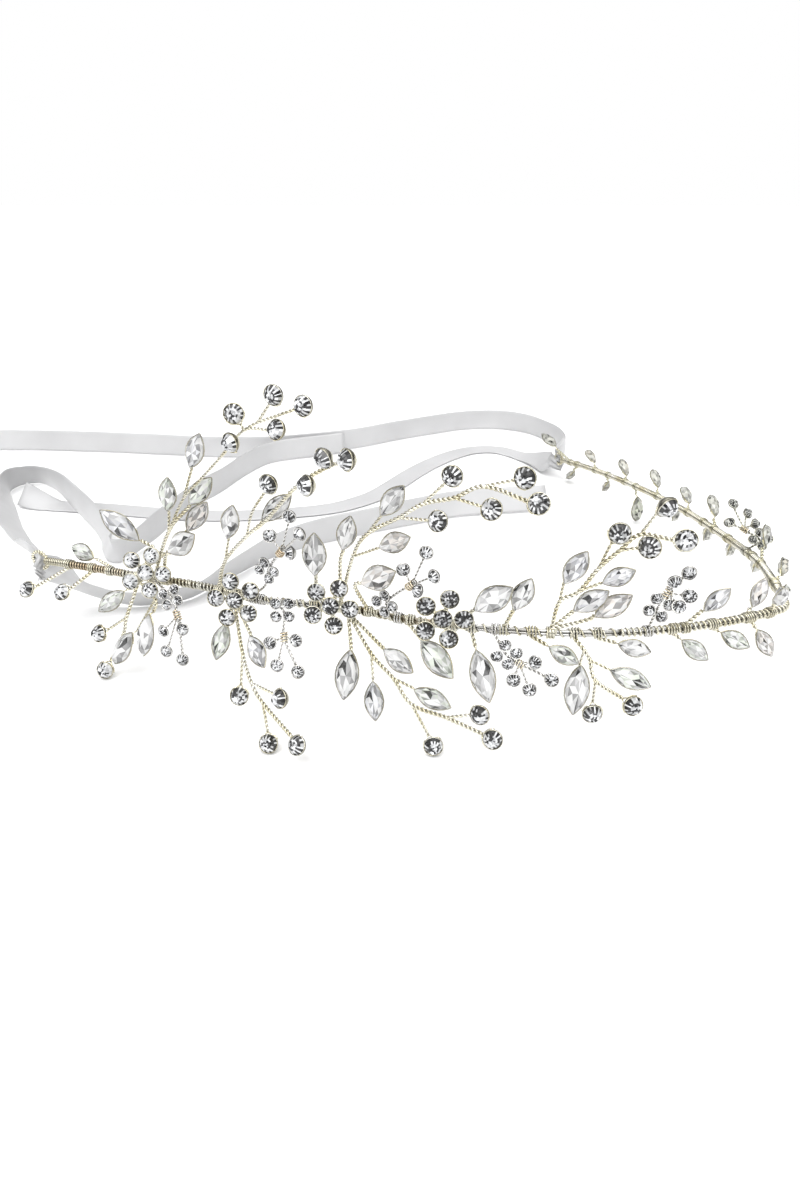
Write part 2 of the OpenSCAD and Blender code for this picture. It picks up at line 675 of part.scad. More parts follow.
module flower_1_setting() flower_setting(FLOWERS[0]);
module flower_1_stones() flower_stones(FLOWERS[0]);
module flower_2_setting() flower_setting(FLOWERS[1]);
module flower_2_stones() flower_stones(FLOWERS[1]);
module flower_3_setting() flower_setting(FLOWERS[2]);
module flower_3_stones() flower_stones(FLOWERS[2]);
module flower_4_setting() flower_setting(FLOWERS[3]);
module flower_4_stones() flower_stones(FLOWERS[3]);
module left_end_wire() sprig_wire(LEFT_END, "palegoldenrod");
module left_end_stones() sprig_stones(LEFT_END);
module left_spray_wire() sprig_wire(LEFT_SPRAY, "palegoldenrod");
module left_spray_stones() sprig_stones(LEFT_SPRAY);
module up_sprig_1_wire() sprig_wire(UP_1, "palegoldenrod");
module up_sprig_1_stones() sprig_stones(UP_1);
module up_sprig_2_wire() sprig_wire(UP_2, "palegoldenrod");
module up_sprig_2_stones() sprig_stones(UP_2);
module down_sprig_2_wire() sprig_wire(DOWN_2, "palegoldenrod");
module down_sprig_2_stones() sprig_stones(DOWN_2);
module navettes_3_wire() sprig_wire(NAVETTES_3, "palegoldenrod");
module navettes_3_stones() sprig_stones(NAVETTES_3);
module up_sprig_3_wire() sprig_wire(UP_3, "palegoldenrod");
module up_sprig_3_stones() sprig_stones(UP_3);
module down_sprig_3_wire() sprig_wire(DOWN_3, "palegoldenrod");
module down_sprig_3_stones() sprig_stones(DOWN_3);
module leaves_4_wire() sprig_wire(LEAVES_4, "palegoldenrod");
module leaves_4_stones() sprig_stones(LEAVES_4);
module up_sprig_4_wire() sprig_wire(UP_4, "palegoldenrod");
module up_sprig_4_stones() sprig_stones(UP_4);
module down_sprig_4_wire() sprig_wire(DOWN_4, "palegoldenrod");
module down_sprig_4_stones() sprig_stones(DOWN_4);
module right_leaves_wire() sprig_wire(RIGHT_LEAVES, "palegoldenrod");
module right_leaves_stones() sprig_stones(RIGHT_LEAVES);
module far_upper_wire() sprig_wire(FAR_UPPER, "palegoldenrod");
module far_upper_stones() sprig_stones(FAR_UPPER);
module far_lower_wire() sprig_wire(FAR_LOWER, "palegoldenrod");
module far_lower_stones() sprig_stones(FAR_LOWER);
module bunch_1_wire() sprig_wire(BUNCH_1, "silver");
module bunch_1_stones() sprig_stones(BUNCH_1);
module bunch_2_wire() sprig_wire(BUNCH_2, "silver");
module bunch_2_stones() sprig_stones(BUNCH_2);
module bunch_3_wire() sprig_wire(BUNCH_3, "silver");
module bunch_3_stones() sprig_stones(BUNCH_3);
module bunch_4_wire() sprig_wire(BUNCH_4, "silver");
module bunch_4_stones() sprig_stones(BUNCH_4);
module bunch_5_wire() sprig_wire(BUNCH_5, "silver");
module bunch_5_stones() sprig_stones(BUNCH_5);
module bunch_6_wire() sprig_wire(BUNCH_6, "silver");
module bunch_6_stones() sprig_stones(BUNCH_6);
module bunch_7_wire() sprig_wire(BUNCH_7, "silver");
module bunch_7_stones() sprig_stones(BUNCH_7);
module ribbon_left_long() ribbon(LEFT_LONG);
module ribbon_left_short() ribbon(LEFT_SHORT);
module ribbon_far_long() ribbon(FAR_LONG);
module ribbon_far_short() ribbon(FAR_SHORT);

band_wire();
flower_1_setting();
flower_1_stones();
flower_2_setting();
flower_2_stones();
flower_3_setting();
flower_3_stones();
flower_4_setting();
flower_4_stones();
left_end_wire();
left_end_stones();
left_spray_wire();
left_spray_stones();
up_sprig_1_wire();
up_sprig_1_stones();
up_sprig_2_wire();
up_sprig_2_stones();
down_sprig_2_wire();
down_sprig_2_stones();
navettes_3_wire();
navettes_3_stones();
up_sprig_3_wire();
up_sprig_3_stones();
down_sprig_3_wire();
down_sprig_3_stones();
leaves_4_wire();
leaves_4_stones();
up_sprig_4_wire();
up_sprig_4_stones();
down_sprig_4_wire();
down_sprig_4_stones();
right_leaves_wire();
right_leaves_stones();
far_upper_wire();
far_upper_stones();
far_lower_wire();
far_lower_stones();
bunch_1_wire();
bunch_1_stones();
bunch_2_wire();
bunch_2_stones();
bunch_3_wire();
bunch_3_stones();
bunch_4_wire();
bunch_4_stones();
bunch_5_wire();
bunch_5_stones();
bunch_6_wire();
bunch_6_stones();
bunch_7_wire();
bunch_7_stones();
ribbon_left_long();
ribbon_left_short();
ribbon_far_long();
ribbon_far_short();
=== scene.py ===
import json
import math
import random
from collections import namedtuple

import bpy
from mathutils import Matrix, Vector

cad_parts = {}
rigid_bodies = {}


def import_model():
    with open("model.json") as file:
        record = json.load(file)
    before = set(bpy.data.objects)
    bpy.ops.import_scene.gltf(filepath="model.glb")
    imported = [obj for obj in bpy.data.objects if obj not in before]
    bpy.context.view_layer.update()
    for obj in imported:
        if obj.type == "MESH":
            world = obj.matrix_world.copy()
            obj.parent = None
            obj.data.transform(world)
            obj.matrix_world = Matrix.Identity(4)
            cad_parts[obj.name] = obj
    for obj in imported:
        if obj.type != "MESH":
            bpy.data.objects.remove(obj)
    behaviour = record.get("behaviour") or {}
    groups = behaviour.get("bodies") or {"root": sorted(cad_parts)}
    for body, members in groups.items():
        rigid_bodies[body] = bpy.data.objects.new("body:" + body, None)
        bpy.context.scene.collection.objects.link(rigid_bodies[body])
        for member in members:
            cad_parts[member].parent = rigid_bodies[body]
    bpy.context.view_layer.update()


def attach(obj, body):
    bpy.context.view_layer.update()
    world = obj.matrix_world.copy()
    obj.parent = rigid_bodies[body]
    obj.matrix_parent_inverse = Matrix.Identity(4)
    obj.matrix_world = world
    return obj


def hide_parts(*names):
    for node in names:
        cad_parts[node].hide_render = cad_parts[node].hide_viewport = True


# A bridal rhinestone headband: the looks of its wound band, twisted stems, crystals in
# their cups and satin ribbons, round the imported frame. Tables and sizes are in millimetres
# as the part's own source has them, the ribbons' routes in metres, and every mesh in metres.

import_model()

MM = 0.001
UP = Vector((0, 0, 1))
WHITE = (1, 1, 1)

# Driving sizes, as in the part: lengths in millimetres, angles in degrees.
BAND_R = 1          # the wound band's radius
BAND_HEIGHT = 20.4  # its height where y is 0
BAND_TILT = 6       # how much it falls towards the back
BAND_LENGTH = 380
LOOP_R = 2.4        # the radius of the loop at each end
STEM_R = 0.55       # a stem's radius from the band
TIP_R = 0.4         # a stem's radius from a fork
COIL_R = 1.1        # the radius of the coil that holds a bunch
RIM = 0.3           # how far a cup stands out round its stone
PETAL_RING = 4.5    # from a flower's middle stone to its petals
BUD_RING = 2.1      # from the middle of a bunch's square to its stones
FACE_UP = 20        # how much the stones' faces look up
OUTWARDS = 0.2      # how much of the band's turning the faces follow
GAP = 0.1           # between a stone and its cup
STONE_H = 0.38      # a stone's height for its width
CUP_H = 0.36        # a cup's depth for its stone's width
TABLE = 0.58        # a round stone's table for its width

# The band, from its left end: each row is an arc's length and its turn to the left.
BAND_START = (-97, -43.5, -20)
BAND_ARCS = [
    (26, -6), (14, 6), (24, -14), (12, 22), (12, -2), (12, -18), (12, 14), (24, 10), (24, 18),
    (36, 20), (6, 44), (28, 6), (10, 10), (36, 4), (40, 8), (36, 6), (28, 10),
]

# What a stem ends in, and the length and width of each kind of stone. The pointed ones are
# leaf-shaped, and no arms part round the unheld ones.
FORK, ROUND, LEAF, NAVETTE, BERRY, PETAL, BUD, LEAFLET, COIL, BUDS = range(10)
POINTED = (LEAF, NAVETTE, LEAFLET)
UNHELD = (FORK, COIL, BUDS)
STONE = {
    ROUND: (4.2, 4.2), LEAF: (9, 4.2), NAVETTE: (11.5, 5.2), BERRY: (2.6, 2.6),
    PETAL: (3.8, 3.8), BUD: (2.2, 2.2), LEAFLET: (7, 3.6),
}

# A sprig is the place on the band where it is wound on, in mm from the left end, and its
# rows. A row is the row it forks from, or -1 for the band; its tip along the band, up and
# outwards from the foot, in mm; what it ends in; and how far that is turned, in degrees.
Sprig = namedtuple("Sprig", "far rows")
Row = namedtuple("Row", "parent along high out kind turn")
SPRIGS = {
    "left_end": [
        (8, [(-1, -10, -7, 6, ROUND, -42)]),
        (16, [(-1, -6.5, -6.5, 5, ROUND, -35)]),
        (22, [(-1, -11, 2, -3, LEAF, 10)]),
    ],
    "left_spray": [
        (32, [
            (-1, -6.5, -6.5, 4, LEAF, 0), (-1, -2, -10, 5, FORK, 0),
            (1, -9.5, -15.5, 7, ROUND, -30), (1, -3, -14.5, 6, FORK, 0),
            (3, -7, -24.15, 10, ROUND, 0), (-1, 8.5, -2.5, 5, FORK, 0),
            (5, -1, -17.5, 7.5, NAVETTE, -30), (5, 7, -12, 7, NAVETTE, -30),
            (-1, 5, 8, -0.8, FORK, 0), (8, -2, 14.5, 1.5, NAVETTE, 0),
            (-1, 13, 11, -1.3, FORK, 0), (10, 17.5, 18, -4, LEAF, 30),
        ]),
        (40, [
            (-1, 3, 8, 2.5, FORK, 0), (0, 10.5, 13.5, 4, NAVETTE, 0),
        ]),
    ],
    "up_sprig_1": [(37, [
        (-1, 7, 14.5, 1, FORK, 0), (0, 9.5, 25, 2, LEAF, 0), (0, 12.5, 23.5, 1, FORK, 0),
        (2, 18, 36, 1, LEAF, 0), (0, 16, 25, -2, LEAF, 0), (2, 18, 29, 1, FORK, 0),
        (5, 25, 35.5, 2, FORK, 0), (6, 30, 40, 4, ROUND, 0), (6, 31.5, 42, 2, FORK, 0),
        (8, 29.5, 45.5, 2, ROUND, 0), (8, 35, 44, 2, FORK, 0), (10, 40, 50.5, 2, ROUND, 0),
        (10, 47.5, 49, 3, ROUND, 20), (8, 41.5, 43.5, 4, ROUND, 0),
    ])],
    "up_sprig_2": [(57, [
        (-1, 4.5, 9.5, 2, FORK, 0), (0, 8, 20.5, 2, LEAF, 0), (0, 12, 17.5, 2, FORK, 0),
        (2, 15, 24, 3, FORK, 0), (3, 21, 32, 3, ROUND, 0), (2, 18, 24, -2.5, LEAF, 0),
        (2, 18, 22.5, 2, FORK, 0), (6, 27.5, 32, 3, FORK, 0), (7, 33, 34, 5, ROUND, 0),
        (7, 34.5, 37, 2, FORK, 0), (9, 36, 40, 3, ROUND, -20), (9, 43, 41, 5, ROUND, 0),
    ])],
    "down_sprig_2": [(62, [
        (-1, 0, -10.5, 6, LEAF, 0), (-1, 13, -9, 7, LEAF, 0), (-1, 7.5, -10.5, 7, FORK, 0),
        (2, 9.5, -20, 11, ROUND, 0), (2, 13.5, -15, 11, FORK, 0), (4, 25, -14, 13, ROUND, 0),
        (4, 17.5, -18.5, 12, FORK, 0), (6, 22, -26.05, 15.5, ROUND, 0),
        (6, 31, -23, 15.5, ROUND, 0),
    ])],
    "navettes_3": [
        (84, [(-1, 1.5, 15, 3, NAVETTE, 0)]),
        (97, [
            (-1, -1, 8, 4, FORK, 0), (0, 7, 13, 6, NAVETTE, 0),
        ]),
    ],
    "up_sprig_3": [(90, [
        (-1, 0, 11, -0.5, FORK, 0), (0, 2.5, 19.5, 0.5, LEAF, 0),
        (-1, 3.5, 13.5, 0.5, FORK, 0), (2, 15, 20, 4, LEAF, 0), (2, 7.5, 20, 2, FORK, 0),
        (4, 14, 29, 3, LEAF, 0), (4, 15, 25, 3, FORK, 0), (6, 24.5, 26, 5, ROUND, 0),
        (6, 20.5, 29, 4, FORK, 0), (8, 27, 36, 4.5, ROUND, 0), (8, 27, 31, 4, FORK, 0),
        (10, 35.5, 30, 6, ROUND, 0), (10, 33, 34, 4, FORK, 0), (12, 41.5, 37, 5, ROUND, 20),
        (12, 44.5, 32, 6, ROUND, 20),
    ])],
    "down_sprig_3": [(92, [
        (-1, 2.5, -7.5, 5, FORK, 0), (0, 2.5, -13, 7.5, NAVETTE, 0),
        (-1, 7.5, -8, 5, FORK, 0), (2, 9.5, -18, 8.5, LEAF, 0), (2, 13.5, -12, 7, FORK, 0),
        (4, 23.5, -14.5, 8, LEAF, 0), (4, 18.5, -17, 8.5, FORK, 0),
        (6, 24, -26.4, 9, ROUND, 0), (6, 26.5, -19, 8, FORK, 0), (8, 34.5, -16, 8, ROUND, 0),
        (8, 37.5, -22, 8, ROUND, 0), (-1, 9.5, -7, 3, FORK, 0), (11, 14.5, -8.5, 5, LEAF, 0),
    ])],
    "leaves_4": [
        (108, [(-1, 9, -5, 6, NAVETTE, 0)]),
        (122, [(-1, 3.5, -9, 5, NAVETTE, 0)]),
        (118, [(-1, 9.3, 10.3, 4, NAVETTE, 0)]),
        (129, [(-1, 3.5, 10.5, 2, LEAF, 0)]),
    ],
    "up_sprig_4": [(139, [
        (-1, 1, 8, 1, FORK, 0), (0, 1.5, 12.5, 1, FORK, 0), (1, 3.5, 17, 2, LEAF, 0),
        (0, 4.5, 11, 2, FORK, 0), (3, 12, 16, 4, LEAFLET, 0), (3, 8, 16.5, 2, FORK, 0),
        (5, 9.5, 22, 3, FORK, 0), (6, 11, 25, 3, ROUND, 0), (5, 11.5, 21, 3, FORK, 0),
        (8, 17, 23, 5, ROUND, 20), (8, 15, 24.5, 3, FORK, 0), (10, 18.4, 31.4, 4, ROUND, 40),
        (10, 23.4, 24.2, 5, ROUND, 40), (-1, 5, 7, 1, FORK, 0), (13, 7.5, 9.5, 2, LEAF, 0),
        (-1, 7, 4, 1, FORK, 0), (15, 12, 8.5, 2, LEAF, 0),
    ])],
    "down_sprig_4": [
        (135, [(-1, 7, -4, 2, LEAFLET, 0)]),
        (144, [
            (-1, 2, -3, 2, FORK, 0), (0, 1.5, -6, 2, FORK, 0), (1, 1, -12, 3, NAVETTE, 0),
            (0, 3.5, -5.5, 2, FORK, 0), (3, 7.5, -7, 3, FORK, 0), (4, 12, -8.5, 4, LEAF, 0),
            (3, 5, -10, 3, FORK, 0), (6, 5, -18, 3, ROUND, 0), (6, 13.5, -16, 3, ROUND, 0),
        ]),
        (149, [(-1, 7.5, -2.5, 2, LEAFLET, 0)]),
    ],
    "right_leaves": [
        (169, [(-1, 5, 7.5, 2, LEAFLET, 0)]),
        (166, [(-1, 4, -4, 3, LEAFLET, 0)]),
        (176, [(-1, 4, -3, 3, LEAFLET, 0)]),
        (186, [(-1, 2.5, 5.5, -1, LEAFLET, 0)]),
        (187, [(-1, 2, -5.5, 3, LEAFLET, 0)]),
        (193, [(-1, -3, 7, 3, LEAFLET, 0)]),
        (214, [(-1, 4, -3, 2.5, LEAFLET, 0)]),
    ],
    "far_upper": [
        (216, [(-1, 5, 2.5, 1.5, LEAFLET, 40)]),
        (232, [(-1, 6.5, 5.5, 1, LEAFLET, 30)]),
        (266, [(-1, 7, 4.5, 1, LEAF, 0)]),
        (286, [(-1, 6.5, 3, 1, LEAF, 0)]),
        (309, [(-1, 6, 4, 1, LEAF, 0)]),
        (333, [(-1, 5, 3.5, 1, LEAF, 0)]),
        (356, [(-1, 6.5, 3, 1, LEAF, 0)]),
        (374, [(-1, 12, 6.5, -3.5, LEAF, 0)]),
    ],
    "far_lower": [
        (239, [(-1, 4.5, -4.5, 2.5, LEAF, 0)]),
        (256, [(-1, 4.5, -5, 2.5, LEAF, 0)]),
        (274, [(-1, 3.5, -5, 2.5, LEAF, 0)]),
        (297, [(-1, 4, -5, 2.5, LEAF, 0)]),
        (325, [(-1, 2, -9.35, 2, NAVETTE, 0)]),
        (346, [(-1, 5.5, -6, 2, LEAF, 0)]),
        (369, [(-1, 8, -6.5, 2, LEAF, 0)]),
    ],
    "bunch_1": [(38, [
        (-1, 8, -1, 6, BUDS, 0), (0, 10.5, -4.5, 8, COIL, 0), (1, 6, -9.5, 8, BERRY, 0),
        (1, 12.5, -7.5, 9, BERRY, 0), (1, 7.5, -14, 10, BERRY, 0),
        (1, 12, -15.5, 10, BERRY, 0),
    ])],
    "bunch_2": [(68, [
        (-1, 4.5, 5, 1, FORK, 0), (0, 8, 11, 4, BUDS, 0), (1, 12.5, 16.5, 5, COIL, 0),
        (2, 10.5, 20.5, 6, BERRY, 0), (2, 15.5, 25.5, 5, BERRY, 0),
        (2, 19.5, 23, 7, BERRY, 0), (2, 18.5, 19, 9, BERRY, 0),
    ])],
    "bunch_3": [(70, [
        (-1, 9, 1.5, 5, BUDS, 0), (0, 10, -4.5, 7, COIL, 0), (1, 7, -6, 8, BERRY, 0),
        (1, 13.5, -4.5, 7, BERRY, 0), (1, 9, -11, 9, BERRY, 0), (1, 14.5, -11.5, 9, BERRY, 0),
    ])],
    "bunch_4": [(105, [
        (-1, -1.5, 5, 3, BUDS, 0), (0, 5, 11, 4, COIL, 0), (1, 8.5, 19.5, 4, BERRY, 0),
        (1, 11.5, 15.5, 6, BERRY, 0), (1, 3.5, 15, 5, BERRY, 0), (1, 8.5, 11.5, 7, BERRY, 0),
    ])],
    "bunch_5": [(127, [
        (-1, 3, -3, 5, BUDS, 0), (0, 6, -5, 5, COIL, 0), (1, 9.5, -3.5, 6, BERRY, 0),
        (1, 5, -8.5, 6, BERRY, 0), (1, 8.5, -10.5, 6, BERRY, 0), (1, 13, -7.5, 6, BERRY, 0),
    ])],
    "bunch_6": [(160, [
        (-1, 0.5, 7, 2, BUDS, 0), (0, 2, 10, 2, COIL, 0), (1, 2.5, 13.5, 3, BERRY, 0),
        (1, 5.5, 15, 3, BERRY, 0), (1, 6, 10, 4, BERRY, 0), (1, 3.5, 8, 5, BERRY, 0),
    ])],
    "bunch_7": [(243, [
        (-1, -1.5, 4, 2.5, BUDS, 0), (0, 1.5, 6, -1, COIL, 0), (1, 8, 11, -3, BERRY, 0),
        (1, 7, 8.5, 1, BERRY, 0), (1, 5, 6.5, -4, BERRY, 0), (1, 4.5, 6.5, 2.5, BERRY, 0),
    ])],
}

# Each flower's place on the band, its middle along, up and outwards from there, and how far
# its first petal is turned from the level.
FLOWERS = [
    (34, 4, 4, 4.4, 68), (63, 3.5, 1.4, 4.8, 32), (88, 1, 2.4, 4.4, 64), (117, -0.5, 4, 5, 0),
]

# The ribbons' routes, from the loop that each is tied to: x, y and z of the ribbon's middle,
# in metres, and how far its upper edge leans to the right of the way that it runs.
ROUTES = {
    "ribbon_left_long": [
        (-0.102, -0.04, 0.0255, 0), (-0.1095, -0.0265, 0.0205, -40),
        (-0.119, -0.0105, 0.017, -50), (-0.129, 0.0055, 0.014, -50),
        (-0.1375, 0.021, 0.0115, -42), (-0.144, 0.0335, 0.0095, -40),
        (-0.151, 0.0465, 0.008, -38), (-0.158, 0.061, 0.0065, -32), (-0.164, 0.074, 0.0055, -20),
        (-0.167, 0.084, 0.0053, 5), (-0.165, 0.0905, 0.005, 22), (-0.16, 0.093, 0.005, 24),
        (-0.153, 0.0885, 0.0053, 14), (-0.1455, 0.0805, 0.0062, 5), (-0.1375, 0.07, 0.007, -7),
        (-0.13, 0.0595, 0.007, -10), (-0.124, 0.051, 0.007, -10), (-0.118, 0.043, 0.0066, -12),
        (-0.113, 0.036, 0.006, -14), (-0.108, 0.0285, 0.0055, -22), (-0.104, 0.02, 0.0055, -30),
        (-0.101, 0.012, 0.0055, -15), (-0.098, 0.0085, 0.0055, 15), (-0.095, 0.01, 0.0055, 18),
        (-0.093, 0.018, 0.0055, 10), (-0.09, 0.03, 0.006, 4), (-0.087, 0.042, 0.0068, 4),
        (-0.084, 0.054, 0.007, 4), (-0.081, 0.066, 0.0068, 2), (-0.076, 0.085, 0.0055, 0),
        (-0.07, 0.106, 0.0055, 0), (-0.063, 0.1215, 0.0055, 0), (-0.054, 0.129, 0.0055, 0),
        (-0.043, 0.134, 0.0055, 0), (-0.028, 0.141, 0.0055, 0),
    ],
    "ribbon_left_short": [
        (-0.1015, -0.04, 0.0215, 0), (-0.1015, -0.032, 0.017, 45), (-0.098, -0.028, 0.011, 50),
        (-0.091, -0.026, 0.0065, 42), (-0.082, -0.0258, 0.0044, 41),
        (-0.072, -0.0238, 0.0043, 41), (-0.0645, -0.02, 0.0044, 39),
        (-0.059, -0.0108, 0.0048, 31), (-0.053, 0, 0.005, 24), (-0.047, 0.0097, 0.0052, 16),
        (-0.037, 0.02, 0.0055, 8), (-0.024, 0.0295, 0.0055, 0), (-0.009, 0.038, 0.0055, 0),
        (0.006, 0.047, 0.0055, -10), (0.022, 0.055, 0.0055, -20), (0.04, 0.059, 0.0055, -25),
        (0.058, 0.062, 0.0055, -25),
    ],
    "ribbon_far_long": [
        (0.0685, 0.103, 0.0115, 0), (0.072, 0.111, 0.0105, 0), (0.077, 0.126, 0.008, 0),
        (0.078, 0.144, 0.0065, 0), (0.075, 0.161, 0.0055, 0), (0.067, 0.176, 0.0055, 0),
        (0.053, 0.185, 0.0055, 0), (0.035, 0.184, 0.0055, 0), (0.017, 0.175, 0.0055, 0),
        (-0.002, 0.163, 0.0055, 0), (-0.022, 0.149, 0.0055, 0), (-0.043, 0.14, 0.0055, 0),
        (-0.066, 0.134, 0.0055, 0), (-0.092, 0.134, 0.0055, 0), (-0.118, 0.138, 0.0055, 0),
        (-0.146, 0.142, 0.0055, 0), (-0.176, 0.145, 0.0055, 0), (-0.206, 0.146, 0.0055, 0),
    ],
    "ribbon_far_short": [
        (0.0665, 0.1025, 0.0085, 0), (0.066, 0.11, 0.0055, 30), (0.064, 0.122, 0.0035, 60),
        (0.057, 0.136, 0.0008, 88), (0.047, 0.145, 0.0008, 88), (0.035, 0.144, 0.0008, 88),
        (0.024, 0.135, 0.0008, 88), (0.014, 0.122, 0.0008, 88), (0.005, 0.107, 0.0008, 88),
        (-0.003, 0.091, 0.0008, 88), (-0.012, 0.076, 0.0008, 88), (-0.027, 0.063, 0.0008, 88),
        (-0.046, 0.057, 0.0008, 88), (-0.069, 0.054, 0.0008, 88), (-0.092, 0.056, 0.0008, 88),
        (-0.115, 0.061, 0.0008, 88), (-0.132, 0.064, 0.0008, 88), (-0.141, 0.0655, 0.0008, 88),
        (-0.149, 0.0665, 0.003, 60), (-0.1545, 0.0675, 0.0052, 25),
    ],
}
RIBBON_W = 10


# Camera

# The photo's camera: where it stands, in metres, how far down it looks, in degrees, and its
# lens and sensor, in millimetres.
CAMERA_AT = (-0.0005, -0.2425, 0.1145)
CAMERA_DOWN = 27
LENS = 24
SENSOR = 36


def add_camera():
    data = bpy.data.cameras.new("camera")
    data.sensor_width = SENSOR
    data.lens = LENS
    data.clip_start = 0.01
    data.clip_end = 50
    camera = bpy.data.objects.new("camera", data)
    camera.location = CAMERA_AT
    camera.rotation_euler = (math.radians(90 - CAMERA_DOWN), 0, 0)
    bpy.context.scene.collection.objects.link(camera)
    bpy.context.scene.camera = camera


add_camera()


# Materials. The scale of a noise is in waves to a metre.


def new_material(name):
    material = bpy.data.materials.new(name)
    material.use_nodes = True
    nodes = material.node_tree.nodes
    return material, nodes, material.node_tree.links, nodes["Principled BSDF"]


def set_values(node, values):
    for socket, value in values.items():
        node.inputs[socket].default_value = value


def noise(nodes, links, scale, detail):
    coordinates = nodes.new("ShaderNodeTexCoord")
    node = nodes.new("ShaderNodeTexNoise")
    set_values(node, {"Scale": scale, "Detail": detail})
    links.new(coordinates.outputs["Object"], node.inputs["Vector"])
    return node.outputs["Fac"]


def ramp(nodes, links, value, stops):
    node = nodes.new("ShaderNodeValToRGB")
    elements = node.color_ramp.elements
    for i, (at, colour) in enumerate(stops):
        element = elements[i] if i < 2 else elements.new(at)
        element.position = at
        element.color = (*colour, 1)
    links.new(value, node.inputs["Fac"])
    return node.outputs["Color"]


def add_bump(nodes, links, shader, height, strength, distance):
    node = nodes.new("ShaderNodeBump")
    set_values(node, {"Strength": strength, "Distance": distance})
    links.new(height, node.inputs["Height"])
    links.new(node.outputs["Normal"], shader.inputs["Normal"])


def toned(nodes, links, colour):
    """A colour times the tone that the mesh holds."""
    tone = nodes.new("ShaderNodeAttribute")
    tone.attribute_name = "tone"
    product = nodes.new("ShaderNodeMix")
    product.data_type = "RGBA"
    product.blend_type = "MULTIPLY"
    set_values(product, {"Factor": 1})
    links.new(tone.outputs["Color"], product.inputs["A"])
    links.new(colour, product.inputs["B"])
    return product.outputs["Result"]


def wire_material(name, stops, rough):
    """Polished drawn wire whose colour drifts along the piece, with fine drawing marks."""
    material, nodes, links, shader = new_material(name)
    colour = ramp(nodes, links, noise(nodes, links, 160, 3), stops)
    links.new(toned(nodes, links, colour), shader.inputs["Base Color"])
    set_values(shader, {"Metallic": 1})
    marks = noise(nodes, links, 5200, 1)
    spread = nodes.new("ShaderNodeMapRange")
    set_values(spread, {"To Min": rough * 0.7, "To Max": rough * 1.4})
    links.new(marks, spread.inputs["Value"])
    links.new(spread.outputs["Result"], shader.inputs["Roughness"])
    add_bump(nodes, links, shader, marks, 0.12, 0.00002)
    return material


def cloudy(name, scale, dim):
    """A material whose facet tones are clouded a little, down to a dim grey."""
    material, nodes, links, shader = new_material(name)
    cloud = noise(nodes, links, scale, 2)
    shade = ramp(nodes, links, cloud, [(0.3, (dim,) * 3), (0.7, WHITE)])
    links.new(toned(nodes, links, shade), shader.inputs["Base Color"])
    return material, shader


def foil_crystal(name):
    """Cut glass over foil. Each facet's tone, light or dark, is a painted reflection, standing
    in for the piece of mirror that it would show.
    """
    material, shader = cloudy(name, 900, 0.86)
    set_values(shader, {"Metallic": 0.15, "Roughness": 0.12, "IOR": 1.5, "Coat Weight": 0.3,
                        "Coat Roughness": 0.03})
    return material


def clear_crystal(name):
    """Cut glass that lets through part of the light behind it."""
    material, shader = cloudy(name, 500, 0.93)
    set_values(shader, {"Roughness": 0.03, "IOR": 1.5, "Transmission Weight": 0.45})
    return material


def satin_material():
    """White satin: long smooth threads along the ribbon, and a soft sheen."""
    material, nodes, links, shader = new_material("white satin")
    uv = nodes.new("ShaderNodeUVMap")
    uv.uv_map = "ribbon"
    threads = nodes.new("ShaderNodeTexWave")
    threads.wave_type = "BANDS"
    threads.bands_direction = "X"
    set_values(threads, {"Scale": 12, "Distortion": 0.6, "Detail": 1})
    links.new(uv.outputs["UV"], threads.inputs["Vector"])
    colour = ramp(nodes, links, noise(nodes, links, 45, 3),
                  [(0.3, (0.49, 0.49, 0.495)), (0.7, (0.545, 0.545, 0.55))])
    links.new(colour, shader.inputs["Base Color"])
    set_values(shader, {"Roughness": 0.42, "Specular IOR Level": 0.4, "Sheen Weight": 0.25,
                        "Sheen Roughness": 0.4})
    add_bump(nodes, links, shader, threads.outputs["Fac"], 0.25, 0.00004)
    return material


GOLD = wire_material("champagne wire", [
    (0.30, (0.72, 0.66, 0.46)), (0.48, (0.86, 0.82, 0.66)), (0.72, (0.95, 0.93, 0.84)),
], 0.24)
WARM = wire_material("warm gold wire", [
    (0.30, (0.68, 0.52, 0.34)), (0.52, (0.83, 0.72, 0.53)), (0.75, (0.92, 0.87, 0.74)),
], 0.24)
SILVER = wire_material("silver wire", [
    (0.30, (0.66, 0.64, 0.60)), (0.50, (0.84, 0.83, 0.80)), (0.72, (0.94, 0.93, 0.91)),
], 0.18)
FOIL = foil_crystal("foiled crystal")
CLEAR = clear_crystal("clear crystal")
SATIN = satin_material()


# Shapes


class Shape:
    """Faces gathered for one piece, in millimetres, each with its look, which is the number
    of a material of the piece, and its tone. Every tone is multiplied by the piece's own."""

    def __init__(self, own=WHITE):
        self.own = own
        self.points = []
        self.faces = []
        self.looks = []
        self.tones = []
        self.smooth = []
        self.places = []

    def add(self, points, faces, look=0, tones=None, smooth=False, places=None, shades=None):
        """tones holds a colour for each face, or shades a grey for each point, and places
        the texture coordinates of each face's corners."""
        first = len(self.points)
        self.points.extend(points)
        for i, face in enumerate(faces):
            self.faces.append([first + k for k in face])
            self.looks.append(look)
            self.smooth.append(smooth)
            self.places.extend(places[i] if places else [])
            if shades:
                found = [grey(shades[k]) for k in face]
            else:
                found = [tones[i] if tones else WHITE] * len(face)
            self.tones.extend(tuple(a * b for a, b in zip(tone, self.own)) for tone in found)


